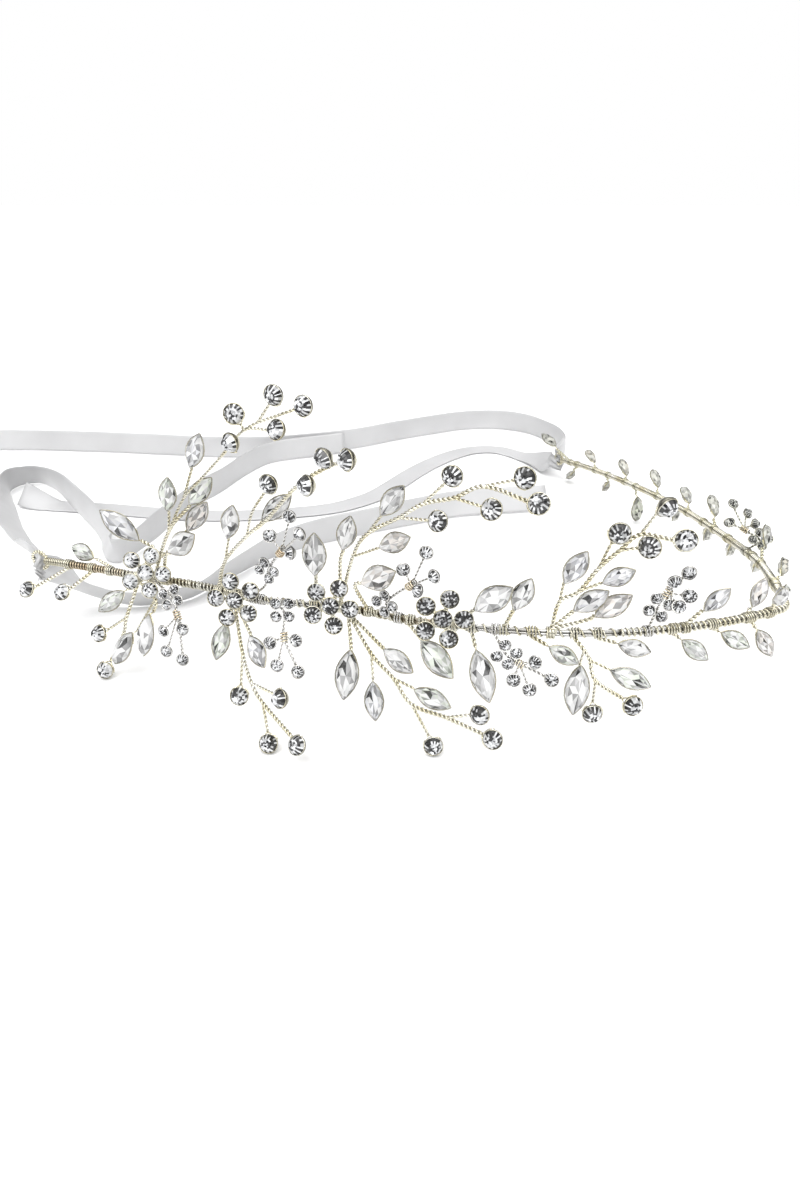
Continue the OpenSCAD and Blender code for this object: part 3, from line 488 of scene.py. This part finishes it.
def make_piece(name, shape, materials, replaced):
    mesh = bpy.data.meshes.new(name)
    mesh.from_pydata([p * MM for p in shape.points], [], shape.faces)
    for material in materials:
        mesh.materials.append(material)
    mesh.polygons.foreach_set("material_index", shape.looks)
    mesh.polygons.foreach_set("use_smooth", shape.smooth)
    tone = mesh.color_attributes.new("tone", "FLOAT_COLOR", "CORNER")
    tone.data.foreach_set("color", [number for value in shape.tones for number in (*value, 1)])
    if shape.places:
        layer = mesh.uv_layers.new(name="ribbon")
        layer.data.foreach_set("uv", [number for uv in shape.places for number in uv])
    mesh.update()
    piece = bpy.data.objects.new(name, mesh)
    bpy.context.scene.collection.objects.link(piece)
    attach(piece, "root")
    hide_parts(*replaced)
    return piece


def unit(v):
    return v.normalized()


def across(v, n):
    return v - n * v.dot(n)


def sine(angle):
    return math.sin(math.radians(angle))


def cosine(angle):
    return math.cos(math.radians(angle))


def mix(a, b, t):
    return a + (b - a) * t


def grey(value, tint=WHITE):
    return tuple(value * t for t in tint)


# The band's line


def along_arc(start, arc, far):
    """Where an arc is after a distance: x, y and heading in the band's own plane."""
    length, turn = arc
    radius = math.degrees(length / turn)
    x, y, heading = start
    end = heading + turn * far / length
    return (x + radius * (sine(end) - sine(heading)),
            y - radius * (cosine(end) - cosine(heading)), end)


def in_plane(far):
    """Point and heading in the band's own plane, a distance from the left end."""
    start = BAND_START
    for arc in BAND_ARCS:
        if far <= arc[0] or arc is BAND_ARCS[-1]:
            return along_arc(start, arc, far)
        start = along_arc(start, arc, arc[0])
        far -= arc[0]


def band_point(far):
    x, y, _ = in_plane(far)
    return Vector((x, y * cosine(BAND_TILT), BAND_HEIGHT - y * sine(BAND_TILT)))


def band_along(far):
    heading = in_plane(far)[2]
    return Vector((cosine(heading), sine(heading), 0))


def band_out(far):
    heading = in_plane(far)[2]
    return Vector((sine(heading), -cosine(heading), 0))


def near_band(far, along, high, out):
    return band_point(far) + along * band_along(far) + high * UP + out * band_out(far)


# Sprigs


def row_point(sprig, i):
    row = sprig.rows[i]
    return near_band(sprig.far, row.along, row.high, row.out)


def surface_start(far, tip):
    """Where a stem leaves the band: just clear of its surface, on the tip's side."""
    way = unit(tip - band_point(far))
    side = unit(across(way, band_along(far)))
    return band_point(far) + side * (BAND_R + GAP)


def stem_start(sprig, i):
    parent = sprig.rows[i].parent
    if parent < 0:
        return surface_start(sprig.far, row_point(sprig, i))
    return row_point(sprig, parent)


def facing(far, turn):
    """The way a stone's face looks: up, in part with the band, and turned from there."""
    heading = in_plane(far)[2] * OUTWARDS + turn
    return Vector((sine(heading) * cosine(FACE_UP), -cosine(heading) * cosine(FACE_UP),
                   sine(FACE_UP)))


def axes_of(long, face):
    """Axes along a stone, across it and out of its face."""
    x = unit(long)
    z = unit(across(face, x))
    return x, z.cross(x), z


def place(points, at, axes):
    x, y, z = axes
    return [at + p[0] * x + p[1] * y + p[2] * z for p in points]


def around(at, axes, count, turn, radius):
    """Points at even angles on a circle, the first at turn degrees from the long axis."""
    angles = [360 // count * k + turn for k in range(count)]
    return [at + (axes[0] * cosine(a) + axes[1] * sine(a)) * radius for a in angles]


def stone_axes(sprig, i):
    row = sprig.rows[i]
    at = row_point(sprig, i)
    way = row_point(sprig, i + 1) - at if row.kind == BUDS else at - stem_start(sprig, i)
    return axes_of(way, facing(sprig.far, row.turn))


def stem_depth(kind):
    """How far behind a stone's girdle the middle of its stem is."""
    return 0.8 if kind == BUDS else max(0.6, STONE[kind][1] * CUP_H * 0.6)


def stone_middle(sprig, i):
    return row_point(sprig, i) + stone_axes(sprig, i)[2] * stem_depth(sprig.rows[i].kind)


def children(sprig, i):
    return [k for k, row in enumerate(sprig.rows) if row.parent == i]


def runs(sprig):
    """The stems as lists of rows: each run goes on through a fork to the last row there."""
    found = []
    for i, row in enumerate(sprig.rows):
        if row.parent >= 0 and children(sprig, row.parent)[-1] == i:
            continue
        run = [i]
        while children(sprig, run[-1]):
            run.append(children(sprig, run[-1])[-1])
        found.append(run)
    return found


# Wires

# Looks of the band, and of the outer wire of a bunch's coil. A stem's look is 0.
GOLD_LOOK, SILVER_LOOK, WARM_LOOK = 0, 1, 2
COIL_LOOK = 1

# How light the painted shade on the inner side of a wound wire is, unless it is given.
CREVICE_SHADE = 0.16

# How far a stem's strands go for each turn, and how many points a turn has in a winding.
ROPE_PITCH = 2.1
TURN_POINTS = 12

# How far apart the points of a stem's line are.
STEM_STEP = 0.28


def smooth_path(points, step):
    """A smooth line through the points, with a new point about every step."""
    if len(points) == 2:
        points = [points[0], (points[0] + points[1]) / 2, points[1]]
    ends = [2 * points[0] - points[1]] + list(points) + [2 * points[-1] - points[-2]]
    path = []
    for a, b, c, d in zip(ends, ends[1:], ends[2:], ends[3:]):
        count = max(1, round((c - b).length / step))
        for k in range(count):
            t = k / count
            path.append(0.5 * (2 * b + (c - a) * t + (2 * a - 5 * b + 4 * c - d) * t * t
                               + (3 * b - a - 3 * c + d) * t * t * t))
    path.append(points[-1].copy())
    return path


def frames(path):
    """The way that a line runs at each point, and two sides that never flip over."""
    last = len(path) - 1
    ways = [unit(path[min(i + 1, last)] - path[max(i - 1, 0)]) for i in range(last + 1)]
    side = Vector((1, 0, 0)) if abs(ways[0].z) > 0.9 else UP
    found = []
    for way in ways:
        side = unit(across(side, way))
        found.append((way, side, way.cross(side)))
    return found


def tube(shape, path, radius, sides, look=0, closed=False, axis=None, tone=1.0,
         crevice_shade=CREVICE_SHADE):
    """A round wire along a path. Where it is wound round an axis, which has a point for
    each of the path's, its inner side is darkened with painted shade, as in the crevices
    of a winding."""
    ring = [(math.cos(2 * math.pi * k / sides), math.sin(2 * math.pi * k / sides))
            for k in range(sides)]
    points = []
    shades = []
    for i, (at, (_, a, b)) in enumerate(zip(path, frames(path))):
        outward = unit(at - axis[i]) if axis else None
        for c, s in ring:
            way = a * c + b * s
            points.append(at + way * radius)
            # Painted shade: the side that faces the axis is drawn darker, as in a winding's
            # crevices.
            painted_light = mix(crevice_shade, 1, 0.5 + 0.5 * way.dot(outward)) if axis else 1
            shades.append(painted_light * tone)
    count = len(path)
    faces = []
    for i in range(count if closed else count - 1):
        j = (i + 1) % count
        for k in range(sides):
            n = (k + 1) % sides
            faces.append((i * sides + k, i * sides + n, j * sides + n, j * sides + k))
    if not closed:
        faces.append(tuple(range(sides - 1, -1, -1)))
        faces.append(tuple((count - 1) * sides + k for k in range(sides)))
    shape.add(points, faces, look, smooth=True, shades=shades)


def helix(path, radius, pitch, turn=0.0, squash=1.0):
    """Points wound round a path; radius and pitch are in millimetres, turn in radians."""
    points = []
    angle = turn
    before = path[0]
    for at, (_, a, b) in zip(path, frames(path)):
        angle += 2 * math.pi * (at - before).length / pitch
        before = at
        points.append(at + (a * math.cos(angle) + b * math.sin(angle) * squash) * radius)
    return points


def rope(shape, points, radius, turn=0.0):
    """A stem of two twisted strands through the points, and the line that it follows."""
    path = smooth_path(points, STEM_STEP)
    strand = radius * 0.5
    for start in (turn, turn + math.pi):
        line = helix(path, strand, ROPE_PITCH, start)
        # The strands get painted shade on their inner sides, where they twist round each other.
        tube(shape, line, strand, 5, axis=path, crevice_shade=0.45)
    return path


# Stones and their settings

# Looks of a piece of stones.
FOILED, CUT_CLEAR = 0, 1

# A round stone's spokes, and its rings of points: how wide each is, how high from the
# girdle to the table, by how many degrees every other spoke is wider there and how far
# every other point is lifted. The facets up to the third ring make up the table.
SPOKES = 24
ROUND_RINGS = [
    (0.16, 1.0, 0.0, 0.03), (0.38, 1.0, 2.0, -0.06), (TABLE, 1.0, -1.0, 0.0),
    (0.8, 0.55, 1.5, 0.05), (1.0, 0.0, 1.5, 0.0),
]
TABLE_RINGS = 3

# How many points a leaf stone's outline has.
LEAF_POINTS = 12

# How many sides a cup has, and how far it stands out round its stone where that isn't RIM.
CUP_SIDES = 20
CUP_WALL = {ROUND: 0.2, PETAL: 0.25}

# Radii of the wire round a leaf stone and of the arms that hold a stone.
LEAF_WIRE = 0.17
ARM_WIRE = 0.19


def round_tones(pick, dark):
    """Tones of a round stone's facets, ring by ring from the middle, all painted reflections:
    broad black and white patches on the table and black spokes on the crown, with more of
    them on one side, a painted shading side turned at random for each stone."""
    white = (0.95, 0.96, 0.98)
    side = pick.uniform(0, 360)
    tones = []
    for ring in range(len(ROUND_RINGS)):
        on_table = ring < TABLE_RINGS
        for k in range(SPOKES):
            near = 0.5 + 0.5 * cosine(360 * k / SPOKES - side)
            if on_table:
                chance = mix(dark * 0.3, dark, near)
            elif k % 2:
                chance = max(0, dark - 0.3) * 0.8 * near
            else:
                chance = mix(dark * 0.8, dark + 0.4, near)
            if not on_table or k == 0 or (k + ring) % 3 == 0:
                black = pick.random() < chance
                light = pick.uniform(0.01, 0.05) if black else pick.uniform(0.4, 1.0)
            tones.append(grey(light, white))
    return tones


def round_stone(shape, kind, at, axes, pick, dark):
    """A brilliant: a nearly flat table and a sloping crown, cut into uneven spokes, and a
    plain back."""
    r = STONE[kind][1] / 2
    top = GAP + STONE_H * 2 * r
    girdle = GAP + 0.08 * r
    back = 0.02
    points = [(0, 0, top)]
    sway = [pick.uniform(-4, 4) for k in range(SPOKES)]
    for reach, height, wider, lift in ROUND_RINGS:
        for k in range(SPOKES):
            angle = 360 * k / SPOKES + sway[k] + (wider if k % 2 else -wider)
            points.append((reach * r * cosine(angle), reach * r * sine(angle),
                           mix(girdle, top, height) + (lift * r if k % 2 else 0)))
    points += [(0.97 * r * cosine(360 * k / SPOKES), 0.97 * r * sine(360 * k / SPOKES), back)
               for k in range(SPOKES)]
    points.append((0, 0, back))
    faces = [(0, 1 + k, 1 + (k + 1) % SPOKES) for k in range(SPOKES)]
    for ring in range(len(ROUND_RINGS)):
        first = 1 + ring * SPOKES
        for k in range(SPOKES):
            n = (k + 1) % SPOKES
            faces.append((first + k, first + SPOKES + k, first + SPOKES + n, first + n))
    last = len(points) - 1
    faces += [(last, last - SPOKES + (k + 1) % SPOKES, last - SPOKES + k) for k in range(SPOKES)]
    # The facets' tones are painted reflections, black and white; the back is plain grey.
    tones = round_tones(pick, dark) + [(0.5, 0.5, 0.5)] * (2 * SPOKES)
    shape.add(place(points, at, axes), faces, FOILED, tones)


def leaf_ring(kind, x_scale, y_scale, z, count, turn=0.0):
    """Points on a leaf's outline, which has a sharp end on either side."""
    length, width = STONE[kind]
    points = []
    for k in range(count):
        angle = 360 * k / count + turn
        x = cosine(angle)
        side = 1 if sine(angle) >= 0 else -1
        points.append((x * x_scale * length / 2, side * (1 - x * x) * y_scale * width / 2, z))
    return points


def leaf_tones(pick, faces, centre):
    """Tones of a leaf stone's facets: light greys, some tinted, often with a dark slash. The
    greys and the slash are painted reflections.
    """
    tints = [WHITE, WHITE, (0.95, 1.0, 0.90), (1, 0.95, 0.90), (0.95, 0.96, 1)]
    tint = pick.choice(tints)
    slash = pick.randrange(LEAF_POINTS) if pick.random() < 0.6 else None
    tones = []
    for n, face in enumerate(faces):
        step, facet = divmod(n, len(faces) // LEAF_POINTS)
        dark = max(face) <= centre and (step == slash and facet < 3 or pick.random() < 0.03)
        light = pick.uniform(0.02, 0.08) if dark else pick.choice((1, 1, 0.9, 0.7, 0.5, 0.34))
        tones.append(grey(light, tint if pick.random() < 0.4 else WHITE))
    return tones


def leaf_stone(shape, kind, at, axes, pick):
    """A marquise: a long table, slanting facets down to the girdle and a keel behind."""
    width = STONE[kind][1]
    count = LEAF_POINTS
    turn = 180 / count
    top = GAP + STONE_H * width
    girdle = 0.3
    rings = [
        leaf_ring(kind, 0.62, 0.52, top, count),
        leaf_ring(kind, 0.86, 0.84, mix(girdle, top, 0.5), count, turn),
        leaf_ring(kind, 1, 1, girdle, count),
        leaf_ring(kind, 1, 1, 0.05, count),
        leaf_ring(kind, 0.6, 0.3, -CUP_H * width * 0.8, count, turn),
    ]
    points = sum(rings, []) + [(0, 0, top), (0, 0, -CUP_H * width * 0.9)]
    # The first point of the table, the crown, the girdle's two edges and the keel.
    t, c, g, u, b = (count * n for n in range(5))
    centre = 5 * count
    faces = []
    for k in range(count):
        n = (k + 1) % count
        faces += [
            (centre, t + k, t + n), (t + k, c + k, t + n), (t + n, c + k, c + n),
            (c + k, g + n, c + n), (c + k, g + k, g + n), (g + k, u + k, u + n, g + n),
            (u + k, b + k, u + n), (u + n, b + k, b + n), (centre + 1, b + n, b + k),
        ]
    tones = leaf_tones(pick, faces, centre)
    shape.add(place(points, at, axes), faces, CUT_CLEAR, tones)


def round_cup(shape, kind, at, axes):
    """A cup turned in one piece, with a thin lip round the stone."""
    r = STONE[kind][1] / 2
    wall = CUP_WALL.get(kind, RIM)
    foot = -CUP_H * 2 * r
    wide = r + wall
    # The radius, the height and the painted light at each point of the cup's section: painted
    # shade on the outer wall below the lip and under the stone, a painted highlight on the lip's
    # top.
    profile = [
        (0.01, foot, 0.6), (0.5 * wide, foot, 0.6), (0.72 * wide, foot * 0.72, 0.7),
        (0.92 * wide, foot * 0.3, 0.5), (wide, 0.0, 0.22), (wide, 0.12 * r, 0.22),
        (wide - 0.3 * wall, 0.2 * r, 1.0), (r + 0.03, 0.16 * r, 0.55), (r + 0.01, -0.02, 0.2),
        (0.01, -0.02, 0.2),
    ]
    count = len(profile)
    points = []
    faces = []
    for k in range(CUP_SIDES):
        a = 360 * k / CUP_SIDES
        points.extend((reach * cosine(a), reach * sine(a), z) for reach, z, _ in profile)
        n = (k + 1) % CUP_SIDES
        for i in range(count):
            j = (i + 1) % count
            faces.append((k * count + i, n * count + i, n * count + j, k * count + j))
    shades = [light for _, _, light in profile] * CUP_SIDES
    shape.add(place(points, at, axes), faces, smooth=True, shades=shades)


def leaf_rim(shape, kind, at, axes):
    """The thin frame round a leaf stone, drawn darker than the stems: painted shade that
    outlines the stone.
    """
    line = place(leaf_ring(kind, 1.02, 1.04, 0.1, 24), at, axes)
    tube(shape, line, LEAF_WIRE, 5, closed=True, tone=0.45)


def arms(shape, sprig, i, split):
    """The two strands of a stem that part and hold a stone's cup from both sides."""
    kind = sprig.rows[i].kind
    axes = stone_axes(sprig, i)
    length, width = STONE[kind]
    middle = stone_middle(sprig, i) - axes[2] * 0.2
    # Points of a strand, for the stone's length and width.
    if kind in POINTED:
        marks = [(-0.5, 0.0), (-0.42, 0.18), (-0.3, 0.34)]
    else:
        marks = [(-0.5, 0.22), (-0.36, 0.42), (-0.12, 0.54)]
    for side in (-1, 1):
        line = [split] + [middle + axes[0] * length * x + axes[1] * width * y * side
                          for x, y in marks]
        tube(shape, smooth_path(line, 0.6), ARM_WIRE, 5)


def stem_line(sprig, run):
    """A run's line, from the band or its fork to where its strands part by a stone."""
    line = [stem_start(sprig, run[0])]
    for i in run:
        kind = sprig.rows[i].kind
        at = row_point(sprig, i)
        if kind in UNHELD:
            line.append(at)
        else:
            way = stone_axes(sprig, i)[0]
            short = STONE[kind][0] / 2 + 0.5
            line.append(at - way * min(short, (at - line[-1]).length * 0.8))
    return line


def foot_coil(shape, sprig, run):
    """The three turns by which a stem's wire is wound on to the band."""
    turns = 3
    wire = 0.2
    half = turns * wire * 1.6
    steps = turns * TURN_POINTS
    path = [band_point(sprig.far - half + 2 * half * k / steps) for k in range(steps + 1)]
    start = row_point(sprig, run[0]).x
    line = helix(path, BAND_R + 0.22, 2 * half / turns, start)
    # Painted shade on the coil's inner side, against the band.
    tube(shape, line, wire, 5, axis=path, tone=0.8, crevice_shade=0.4)


def bunch_coil(shape, sprig, i):
    """The little coil of wire that holds a bunch's twigs, close outside and loose inside."""
    end = row_point(sprig, i)
    way = unit(end - stem_start(sprig, i))
    half = 1.2
    steps = 72
    path = [end + way * (-half + 2 * half * k / steps) for k in range(steps + 1)]
    # Both wires get painted shade on their inner sides.
    tube(shape, helix(path, COIL_R - 0.3, 0.6), 0.17, 6, COIL_LOOK, axis=path)
    tube(shape, helix(path, COIL_R - 0.45, 1.3, 2.0, 0.7), 0.15, 6, axis=path)


# The far stretch is drawn duller than the front, with an olive cast: painted shade.
FAR_PAINTED_SHADE = (0.77, 0.77, 0.70)


def build_sprig(name, group):
    """A group of sprigs: its metal in one piece and its stones in another."""
    bunch = name.startswith("bunch")
    far_off = name.startswith("far") or name == "bunch_7"
    metal = Shape(FAR_PAINTED_SHADE if far_off else WHITE)
    stones = Shape(FAR_PAINTED_SHADE if far_off else WHITE)
    pick = random.Random(name)
    # How much of the stones is painted with dark reflections.
    dark = 0.5 if name.startswith("left") else 0.72
    for far, rows in group:
        sprig = Sprig(far, [Row(*row) for row in rows])
        for run in runs(sprig):
            from_band = sprig.rows[run[0]].parent < 0
            thick = (STEM_R if from_band else TIP_R) * (0.75 if bunch else 1)
            path = rope(metal, stem_line(sprig, run), thick, pick.uniform(0, 6))
            if from_band:
                foot_coil(metal, sprig, run)
            if sprig.rows[run[-1]].kind not in UNHELD:
                arms(metal, sprig, run[-1], path[-1])
        for i, row in enumerate(sprig.rows):
            kind = row.kind
            if kind == FORK:
                continue
            if kind == COIL:
                bunch_coil(metal, sprig, i)
                continue
            axes = stone_axes(sprig, i)
            at = stone_middle(sprig, i)
            if kind == BUDS:
                for spot in around(at, axes, 4, 45, BUD_RING):
                    round_cup(metal, BUD, spot, axes)
                    round_stone(stones, BUD, spot, axes, pick, dark)
            elif kind in POINTED:
                leaf_rim(metal, kind, at, axes)
                leaf_stone(stones, kind, at, axes, pick)
            else:
                round_cup(metal, kind, at, axes)
                round_stone(stones, kind, at, axes, pick, dark)
    metals = [SILVER, WARM] if bunch else [GOLD, WARM]
    make_piece(name + "_wire_detail", metal, metals,
               [name + "_wire"])
    make_piece(name + "_stones_cut", stones, [FOIL, CLEAR], [name + "_stones"])


# Flowers

# How much of each flower's stones is painted with dark reflections, from the left.
FLOWER_DARK_REFLECTIONS = (0.25, 0.65, 0.75, 0.95)


def build_flower(number, flower):
    far, along, high, out, turn = flower
    face = facing(far, 0)
    axes = axes_of(UP.cross(face), face)
    middle = near_band(far, along, high, out)
    spots = [middle] + around(middle, axes, 5, turn, PETAL_RING)
    pick = random.Random("flower%d" % number)
    smoky = number == 4
    metal = Shape()
    stones = Shape(grey(0.8) if smoky else WHITE)
    for spot in spots:
        round_cup(metal, PETAL, spot, axes)
        round_stone(stones, PETAL, spot, axes, pick, FLOWER_DARK_REFLECTIONS[number - 1])
    back = middle - axes[2] * 0.7
    for spot in spots[1:]:
        tube(metal, [back, spot - axes[2] * 0.9], 0.5, 6)
    rope(metal, [surface_start(far + along, back), back], STEM_R)
    name = "flower_%d" % number
    make_piece(name + "_setting_detail", metal, [GOLD], [name + "_setting"])
    make_piece(name + "_stones_cut", stones, [FOIL], [name + "_stones"])


# The band

# Stretches of the band, by mm from the left end: where each starts, how far apart the
# winding's turns are, its wire's radius and its look, and how light the core and the
# winding are. The core's darkness is painted shade in the gaps between the turns, and it
# also sets the painted shade in the winding's crevices.
WINDING = [
    (0, 0.6, 0.24, GOLD_LOOK, 0.7, 0.7), (8, 0.9, 0.28, WARM_LOOK, 0.35, 0.65),
    (27, 1.1, 0.3, GOLD_LOOK, 0.4, 0.65), (68, 1.6, 0.26, GOLD_LOOK, 0.55, 0.7),
    (95, 1.5, 0.28, GOLD_LOOK, 0.5, 0.7), (113, 2.3, 0.26, GOLD_LOOK, 0.55, 0.8),
    (154, 1.3, 0.32, GOLD_LOOK, 0.7, 0.85), (205, 1.0, 0.38, GOLD_LOOK, 0.7, 0.72),
]

# The stretches that start from here to there have a second, looser strand.
TWO_STRANDS = range(27, 113)

# Where each end's loop leaves the band, and which way along the band it reaches.
LEFT_LOOP = (0.5, -1)
FAR_LOOP = (BAND_LENGTH - 0.5, 1)


def build_winding(shape, stretch, end):
    """A stretch of the band: its core of two wires, one over the other, and its winding."""
    start, pitch, wire, look, core, light = stretch
    for offset in (-0.42, 0.42):
        line = [band_point(far) + UP * offset for far in range(start, end + 1)]
        # The core is drawn dark: painted shade, seen in the gaps between the winding's turns.
        tube(shape, line, 0.4, 8, SILVER_LOOK if core > 0.5 else WARM_LOOK, tone=core)
    steps = int((end - start) / pitch * TURN_POINTS)
    path = [band_point(start + (end - start) * k / steps) for k in range(steps + 1)]
    line = helix(path, BAND_R - wire * 0.6, pitch)
    # Painted shade on the winding's inner side, set from the core's lightness.
    tube(shape, line, wire, 6, look, axis=path, tone=light, crevice_shade=core * 0.6)
    if start in TWO_STRANDS:
        line = helix(path, BAND_R - wire * 0.3, pitch * 2.7, 1.0)
        tube(shape, line, wire * 0.8, 6, look, axis=path, tone=light)


def build_loop(shape, far, way):
    """A loop at an end of the band, wound with finer wire."""
    middle = band_point(far)
    reach = band_along(far) * way * LOOP_R
    angles = [12 + 336 * k / 48 for k in range(49)]
    ring = [middle + reach * (1 - cosine(a)) + UP * LOOP_R * sine(a) for a in angles]
    # The ring under the fine wire is drawn darker: painted shade in the gaps between its turns.
    tube(shape, ring, 0.36, 6, tone=0.6)
    fine = smooth_path(ring, 0.08)
    # Painted shade on the fine wire's inner side.
    tube(shape, helix(fine, 0.42, 0.8), 0.22, 5, axis=fine, crevice_shade=0.4)


def build_band():
    shape = Shape()
    ends = [stretch[0] for stretch in WINDING[1:]] + [BAND_LENGTH]
    for stretch, end in zip(WINDING, ends):
        build_winding(shape, stretch, end)
    build_loop(shape, *LEFT_LOOP)
    build_loop(shape, *FAR_LOOP)
    make_piece("band_wire_wound", shape, [GOLD, SILVER, WARM], ["band_wire"])


# Ribbons

# How thick the satin is, how far apart the rings of its mesh are, and how many columns of
# faces lie across it.
SATIN_THICK = 0.35
RIBBON_STEP = 2.2
COLUMNS = 12

# By its loop a ribbon is gathered to a share of its width. It opens out by one width in
# OPENING mm, and its pleats fade out over PLEAT_END mm.
GATHERED = 0.28
OPENING = 22
PLEAT = 0.8
PLEAT_END = 24

# How far its middle bows and its face ripples.
BOW = 0.35
RIPPLE = 0.12


def fold_rows(name):
    """A ribbon's way out through its loop, from the fold round the loop's lower side."""
    far, way = LEFT_LOOP if "left" in name else FAR_LOOP
    middle = band_point(far) + band_along(far) * way * LOOP_R
    front = middle + band_out(far) * 2 - UP * 1.6
    inner = middle - UP * 0.1 if "long" in name else middle + band_out(far) * 0.6 - UP * 3.8
    return [(*(at * MM), 0) for at in (front, inner)]


def ribbon_rings(rows):
    """A ribbon's middle line at even steps: at each, the way across it to its upper edge,
    the way its face looks and the distance from the start."""
    line = [Vector(row[:3]) / MM for row in rows]
    path = smooth_path(line, RIBBON_STEP)
    counts = [max(1, round((b - a).length / RIBBON_STEP)) for a, b in zip(line, line[1:])]
    leans = []
    for i, count in enumerate(counts):
        leans.extend(mix(rows[i][3], rows[i + 1][3], k / count) for k in range(count))
    leans.append(rows[-1][3])
    rings = []
    gone = 0.0
    for k, (at, lean) in enumerate(zip(path, leans)):
        before = path[max(k - 1, 0)]
        way = unit(path[min(k + 1, len(path) - 1)] - before)
        side = unit(way.cross(UP))
        high = side.cross(way)
        wide = high * cosine(lean) + side * sine(lean)
        gone += (at - before).length
        rings.append((at, wide, way.cross(wide), gone))
    return rings


def ribbon_strip(ring, phase, waved):
    """Points across a ribbon at one ring, with their texture coordinates."""
    at, wide, face, gone = ring
    width = RIBBON_W * min(1, GATHERED + gone / OPENING)
    pleat = PLEAT * max(0, 1 - gone / PLEAT_END)
    bow = BOW * math.sin(gone / 17 + phase) if waved else 0
    strip = []
    for k in range(COLUMNS + 1):
        u = k / COLUMNS
        lift = pleat * math.sin(5 * math.pi * u) + bow * (1 - (2 * u - 1) ** 2)
        lift += RIPPLE * math.sin(gone / 6 + 4 * u + phase) if waved else 0
        strip.append((at + wide * (u - 0.5) * width + face * lift, (u, gone / 10)))
    return strip


def build_ribbon(name):
    """A thin satin strip on the route, gathered at the loop, with a faint wave in it unless
    it lies flat."""
    phase = random.Random(name).uniform(0, 6)
    rings = ribbon_rings(fold_rows(name) + ROUTES[name])
    points = []
    places = []
    for ring in rings:
        face = ring[2]
        front = ribbon_strip(ring, phase, name != "ribbon_far_short")
        for side, strip in ((1, front), (-1, front[::-1])):
            for p, uv in strip:
                edge = 0.45 if uv[0] in (0, 1) else 1
                points.append(p + face * side * SATIN_THICK / 2 * edge)
                places.append(uv)
    per = 2 * (COLUMNS + 1)
    faces = []
    for i in range(len(rings) - 1):
        for k in range(per):
            n = (k + 1) % per
            faces.append((i * per + k, (i + 1) * per + k, (i + 1) * per + n, i * per + n))
    last = (len(rings) - 1) * per
    for k in range(COLUMNS):
        faces.append((k, k + 1, per - 2 - k, per - 1 - k))
        faces.append((last + k, last + per - 1 - k, last + per - 2 - k, last + k + 1))
    shape = Shape()
    shape.add(points, faces, smooth=True, places=[[places[v] for v in f] for f in faces])
    piece = make_piece(name + "_satin", shape, [SATIN], [name])
    free = ribbon_rings(ROUTES[name])


for ribbon_name in ROUTES:
    build_ribbon(ribbon_name)
build_band()
for flower_number, flower_row in enumerate(FLOWERS, 1):
    build_flower(flower_number, flower_row)
for sprig_name, sprig_group in SPRIGS.items():
    build_sprig(sprig_name, sprig_group)


# Floor, light and picture

# Each light: its way round and its height in degrees, its width in degrees, its strength.
SUNS = {
    "key": (-35, 62, 40, 1.5), "fill": (50, 50, 50, 0.6), "front": (5, 28, 30, 0.8),
    "rim": (170, 55, 40, 0.5),
}


def add_floor():
    """A wide pale floor."""
    reach = 8.0
    mesh = bpy.data.meshes.new("floor")
    mesh.from_pydata([(-reach, -reach, 0), (reach, -reach, 0), (reach, reach, 0),
                      (-reach, reach, 0)], [], [(0, 1, 2, 3)])
    material, nodes, links, shader = new_material("pale floor")
    colour = ramp(nodes, links, noise(nodes, links, 30, 2),
                  [(0.3, (0.93, 0.93, 0.93)), (0.7, (0.95, 0.95, 0.95))])
    links.new(colour, shader.inputs["Base Color"])
    set_values(shader, {"Roughness": 0.8, "Specular IOR Level": 0})
    mesh.materials.append(material)
    floor = bpy.data.objects.new("floor", mesh)
    bpy.context.scene.collection.objects.link(floor)


def add_sun(name, azimuth, height, wide, strength):
    """A far soft light."""
    data = bpy.data.lights.new(name, "SUN")
    data.angle = math.radians(wide)
    data.energy = strength
    lamp = bpy.data.objects.new(name, data)
    lamp.rotation_euler = (math.radians(90 - height), 0, math.radians(azimuth))
    bpy.context.scene.collection.objects.link(lamp)


def add_world():
    """A white ceiling over a dim room for the facets to show, and white behind the piece."""
    world = bpy.data.worlds.new("studio")
    bpy.context.scene.world = world
    world.use_nodes = True
    nodes = world.node_tree.nodes
    links = world.node_tree.links
    background = nodes["Background"]
    way = nodes.new("ShaderNodeTexCoord")
    split = nodes.new("ShaderNodeSeparateXYZ")
    links.new(way.outputs["Generated"], split.inputs["Vector"])
    room = ramp(nodes, links, split.outputs["Z"],
                [(0.08, (0.5, 0.5, 0.5)), (0.2, (0.16, 0.16, 0.17)), (0.45, (0.2, 0.2, 0.21)),
                 (0.62, WHITE)])
    seen = nodes.new("ShaderNodeLightPath")
    blend = nodes.new("ShaderNodeMix")
    blend.data_type = "RGBA"
    set_values(blend, {"B": (*WHITE, 1)})
    links.new(seen.outputs["Is Camera Ray"], blend.inputs["Factor"])
    links.new(room, blend.inputs["A"])
    links.new(blend.outputs["Result"], background.inputs["Color"])
    set_values(background, {"Strength": 1})


add_floor()
for sun_name, sun_row in SUNS.items():
    add_sun(sun_name, *sun_row)
add_world()
bpy.context.scene.view_settings.view_transform = "Standard"
